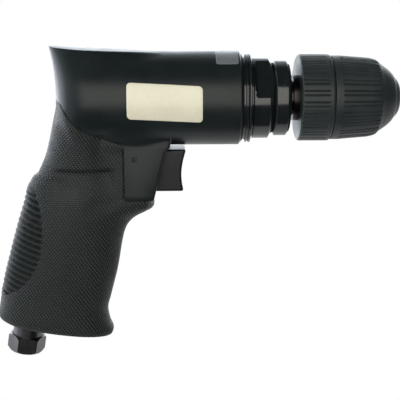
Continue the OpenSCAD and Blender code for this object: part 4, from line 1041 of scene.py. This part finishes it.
rear_sleeve = turned("rear_sleeve_ribbed", rear_profile, count=CHUCK_COUNT,
                     radius_at=ribbed(*REAR_RIBS), sharp=30)
CHUCK_BLACK = moulded_plastic("chuck_nylon", (0.0236, 0.0297, 0.0317), (0.0346, 0.0423, 0.0446),
                              rough=0.42)
settle(front_sleeve, CHUCK_BLACK, "front_sleeve", "chuck_plastic", "front_sleeve")
settle(rear_sleeve, CHUCK_BLACK, "spindle", "chuck_plastic", "rear_sleeve")


def finish_nodes(material, *names):
    """Gives carried-over CAD pieces a finish."""
    for name in names:
        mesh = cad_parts[name].data
        mesh.materials.clear()
        mesh.materials.append(material)


DARK_STEEL = turned_finish("blackened_steel", (0.022, 0.022, 0.022), (0.04, 0.039, 0.037),
                           rough=0.3, metallic=1.0)
finish_nodes(DARK_STEEL, "chuck_body", "chuck_jaw_1", "chuck_jaw_2", "chuck_jaw_3")


# Trigger: a black acetal button with a hollow front for the finger and round edges. It slides
# in the column's pocket, held by a hollow steel cross pin.
TRIGGER_FRONT = -107.0
TRIGGER_HOLLOW = 2.4
TRIGGER_ARC = 0.82 * math.pi
TRIGGER_INSIDE = 3.0
TRIGGER_STEPS = 14
side_view = []
for k in range(TRIGGER_STEPS + 1):
    s = k / TRIGGER_STEPS
    hollow = TRIGGER_HOLLOW * math.sin(TRIGGER_ARC * s)
    side_view.append((TRIGGER_FRONT - hollow, TRIGGER_TOP - TRIGGER_H * s))
for z in (TRIGGER_TOP - TRIGGER_H, TRIGGER_TOP):
    side_view.append((lean(z) - TRIGGER_INSIDE, z))
sides = [[(x, y, z) for x, z in side_view] for y in (-TRIGGER_HALF, TRIGGER_HALF)]
trigger = shape("trigger_button", sides, True, True)
bevel = trigger.modifiers.new("round", "BEVEL")
bevel.width = 1.3 * MM
bevel.segments = 4
bevel.limit_method = "ANGLE"
bevel.angle_limit = math.radians(40)
level_sides = trigger.modifiers.new("level_sides", "WEIGHTED_NORMAL")
level_sides.weight = 100
apply_modifiers(trigger)
ACETAL = moulded_plastic("black_acetal", (0.0045, 0.0068, 0.0082), (0.0075, 0.0105, 0.0120),
                         rough=0.36)
settle(trigger, ACETAL, "trigger", "trigger_plastic", "trigger")

PIN_INSIDE = 0.55
PIN_PROFILE = [(0.25, 0.02), (0.25, 0.5), (0.0, 0.7), (0.0, PIN_R - 0.15), (0.2, PIN_R)]
pin_ends = [(y - COLUMN_HALF + PIN_INSIDE, r) for y, r in PIN_PROFILE]
pin_rings = [across(y, r, PIN_PLACE) for y, r in pin_ends]
pin_rings += [across(-y, r, PIN_PLACE) for y, r in reversed(pin_ends)]
pin = shape("cross_pin", pin_rings, True, True, sharp=30)
settle(pin, DARK_STEEL, "body", "machined_steel", "trigger_pin")


# Reversing lever: a flat acetal finger on the far side, with a raised hub and grip ridges at its
# tip, held on the valve by a black cross-recessed screw.
LEVER_PLACE = (-149.2, -25.1)
LEVER_SEAT = 20.2
LEVER_T = 2.2
LEVER_HUB = 5.5
LEVER_LENGTH = 15.0
LEVER_TIP = 3.0


def lever_outline(grow, count=20):
    """The hub's circle and the tip's circle with their common tangents."""
    lean_in = math.asin((LEVER_HUB - LEVER_TIP) / LEVER_LENGTH)
    points = []
    for k in range(count + 1):
        a = math.pi / 2 - lean_in + (math.pi + 2 * lean_in) * k / count
        points.append(((LEVER_HUB + grow) * math.cos(a), (LEVER_HUB + grow) * math.sin(a)))
    for k in range(count + 1):
        a = -math.pi / 2 + lean_in + (math.pi - 2 * lean_in) * k / count
        points.append((LEVER_LENGTH + (LEVER_TIP + grow) * math.cos(a), (LEVER_TIP + grow) * math.sin(a)))
    return points


def lever_ring(y, grow):
    return [(LEVER_PLACE[0] + x, LEVER_SEAT + y, LEVER_PLACE[1] + z) for x, z in lever_outline(grow)]


LEVER_LEVELS = [(0.0, -0.3), (0.3, 0.0), (LEVER_T - 0.6, 0.0), (LEVER_T - 0.15, -0.25), (LEVER_T, -0.7)]
lever = shape("reverse_finger", [lever_ring(y, grow) for y, grow in LEVER_LEVELS], True, True, sharp=40)
RIDGE_COUNT = 3
RIDGE_STEPS = 6
RIDGE_R = 0.5
RIDGE_SINK = 0.1
RIDGE_PITCH = 2.0
RIDGE_FIRST = LEVER_LENGTH - 3.2
RIDGE_ENDS = [(-2.0, 0.6), (-1.7, 1.0), (1.7, 1.0), (2.0, 0.6)]


def ridge_ring(along, z, r):
    """Half a circle across a ridge that stands on the lever's face."""
    points = []
    for j in range(RIDGE_STEPS + 1):
        a = math.pi * j / RIDGE_STEPS
        points.append((LEVER_PLACE[0] + along + r * math.cos(a),
                       LEVER_SEAT + LEVER_T - RIDGE_SINK + r * math.sin(a), LEVER_PLACE[1] + z))
    return points


for k in range(RIDGE_COUNT):
    along = RIDGE_FIRST + RIDGE_PITCH * k
    ridge = [ridge_ring(along, z, RIDGE_R * share) for z, share in RIDGE_ENDS]
    join(lever, shape("ridge", ridge, True, True))
finish_mesh(lever, sharp=40)
settle(lever, ACETAL, "reverse_lever", "trigger_plastic", "reverse_lever")


RECESS_LONG = 0.62
RECESS_WIDE = 0.13


def cross_screw(name, face, axis_x, axis_y, normal, r, t):
    """A low round screw head with a cross recess; face is the point its head stands on."""
    def ring(radius, up, count=40):
        points = []
        for k in range(count):
            a = 2 * math.pi * k / count
            points.append(tuple(face[i] + radius * (math.cos(a) * axis_x[i] + math.sin(a) * axis_y[i])
                                + up * normal[i] for i in range(3)))
        return points

    profile = [(r, 0.0), (r, 0.45 * t), (0.93 * r, 0.75 * t), (0.75 * r, 0.95 * t), (0.4 * r, t)]
    head = shape(name, [ring(radius, up) for radius, up in profile], True, True, sharp=35)
    for first, second in ((axis_x, axis_y), (axis_y, axis_x)):
        long, wide = RECESS_LONG * r, RECESS_WIDE * r
        corners = [(-long, -wide), (long, -wide), (long, wide), (-long, wide)]
        slot_rings = [[tuple(face[i] + a * first[i] + b * second[i] + up * normal[i] for i in range(3))
                       for a, b in corners] for up in (0.4 * t, 1.5 * t)]
        cut(head, shape("recess", slot_rings, True, True))
    finish_mesh(head, sharp=35)
    return head


SCREW_BLACK = turned_finish("black_oxide", (0.025, 0.025, 0.026), (0.05, 0.049, 0.048),
                            rough=0.35, metallic=1.0)
LEVER_SCREW_R = 2.5
LEVER_SCREW_T = 0.8
lever_screw = cross_screw("lever_screw_head", (LEVER_PLACE[0], LEVER_SEAT + LEVER_T, LEVER_PLACE[1]),
                          (1, 0, 0), (0, 0, 1), (0, 1, 0), LEVER_SCREW_R, LEVER_SCREW_T)
settle(lever_screw, SCREW_BLACK, "reverse_lever", "black_screw", "lever_screw")


# Foot: the air inlet's turned hexagon in dark steel, and the exhaust plate beside it, a slotted
# acetal plate on two small screws. These carry the frame's own shapes.
INLET_STEEL = turned_finish("inlet_steel", (0.072, 0.068, 0.0705), (0.119, 0.112, 0.1155),
                            rough=0.34, metallic=1.0)
finish_nodes(INLET_STEEL, "inlet_bushing")
finish_nodes(ACETAL, "exhaust_plate")
finish_nodes(SCREW_BLACK, "plate_screws", "chuck_screw")


# Inner pieces: what the shell hides, in the finish of the real piece. Ground steel for shafts and
# gears, polished bearing rings, grey iron, brass valves, tan vanes, rubber seals and felt.
def plain_finish(name, dark, light, rough, metallic, scale, relief):
    """One even material with a grain of a given size and relief."""
    material, shader, place = new_material(name, Metallic=metallic)
    grain = noise(place, scale, detail=4.0)
    feed(shader, "Base Color", grain.ramp(0.3, 0.7).mix(dark, light))
    feed(shader, "Roughness", grain.ramp(0.3, 0.7, rough - 0.06, rough + 0.06))
    emboss(shader, grain, distance=relief * MM, strength=0.4)
    return material


BRIGHT_STEEL = turned_finish("ground_steel", (0.50, 0.49, 0.47), (0.62, 0.61, 0.59),
                             rough=0.3, metallic=1.0)
BEARING_STEEL = plain_finish("bearing_steel", (0.60, 0.60, 0.60), (0.70, 0.70, 0.70),
                             rough=0.16, metallic=1.0, scale=900.0, relief=0.004)
IRON = plain_finish("grey_iron", (0.13, 0.128, 0.125), (0.20, 0.197, 0.193),
                    rough=0.55, metallic=1.0, scale=1300.0, relief=0.03)
BRASS = plain_finish("turned_brass", (0.62, 0.43, 0.16), (0.74, 0.54, 0.23),
                     rough=0.28, metallic=1.0, scale=800.0, relief=0.01)
SPRING_STEEL = plain_finish("spring_steel", (0.36, 0.36, 0.37), (0.46, 0.46, 0.47),
                            rough=0.3, metallic=1.0, scale=1500.0, relief=0.01)
VANE_TAN = plain_finish("vane_laminate", (0.16, 0.085, 0.035), (0.25, 0.14, 0.06),
                        rough=0.6, metallic=0.0, scale=2200.0, relief=0.04)
SEAL_RUBBER = plain_finish("seal_rubber", (0.010, 0.010, 0.010), (0.018, 0.018, 0.018),
                           rough=0.55, metallic=0.0, scale=1800.0, relief=0.02)
FELT = plain_finish("grey_felt", (0.17, 0.165, 0.155), (0.30, 0.29, 0.275),
                    rough=0.95, metallic=0.0, scale=2600.0, relief=0.25)
finish_nodes(BRIGHT_STEEL, "bearing_spacer", "spindle", "planet_pins", "planet_gear_1", "planet_gear_2",
             "planet_gear_3", "ring_gear", "dowel_pin", "rotor", "valve_stem", "jaw_nut")
finish_nodes(BEARING_STEEL, "rear_bearing_outer", "rear_bearing_inner", "front_bearing_outer",
             "front_bearing_inner", "rotor_bearing_balls", "spindle_bearing_outers",
             "spindle_bearing_inners", "spindle_bearing_balls")
finish_nodes(IRON, "cylinder_liner", "rear_end_plate", "front_end_plate")
finish_nodes(BRASS, "valve_bushing", "reverse_valve", "inlet_screen")
finish_nodes(VANE_TAN, "vanes")
finish_nodes(SEAL_RUBBER, "shaft_seal", "valve_seal")
finish_nodes(FELT, "silencer")


# Throttle spring: steel wire wound in five turns behind the valve's poppet. Its rear end stands on
# the bushing's floor, and its front end is pushed back by the stem.
SPRING_R = 3.5
SPRING_WIRE_R = 0.45
SPRING_TURNS = 5
SPRING_Z = -36.0
SPRING_ENDS = (-171.45, -157.3)
TURN_STEPS = 32
WIRE_SIDES = 10
spring_rings = []
for k in range(SPRING_TURNS * TURN_STEPS + 1):
    a = 2 * math.pi * k / TURN_STEPS
    x = blend(*SPRING_ENDS, k / (SPRING_TURNS * TURN_STEPS))
    ring = []
    for j in range(WIRE_SIDES):
        b = 2 * math.pi * j / WIRE_SIDES
        r = SPRING_R + SPRING_WIRE_R * math.cos(b)
        ring.append((x + SPRING_WIRE_R * math.sin(b), r * math.cos(a), SPRING_Z + r * math.sin(a)))
    spring_rings.append(ring)
spring = shape("throttle_spring", spring_rings, True, True, sharp=50)
spring.data.materials.append(SPRING_STEEL)
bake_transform(spring)
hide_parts("valve_spring")
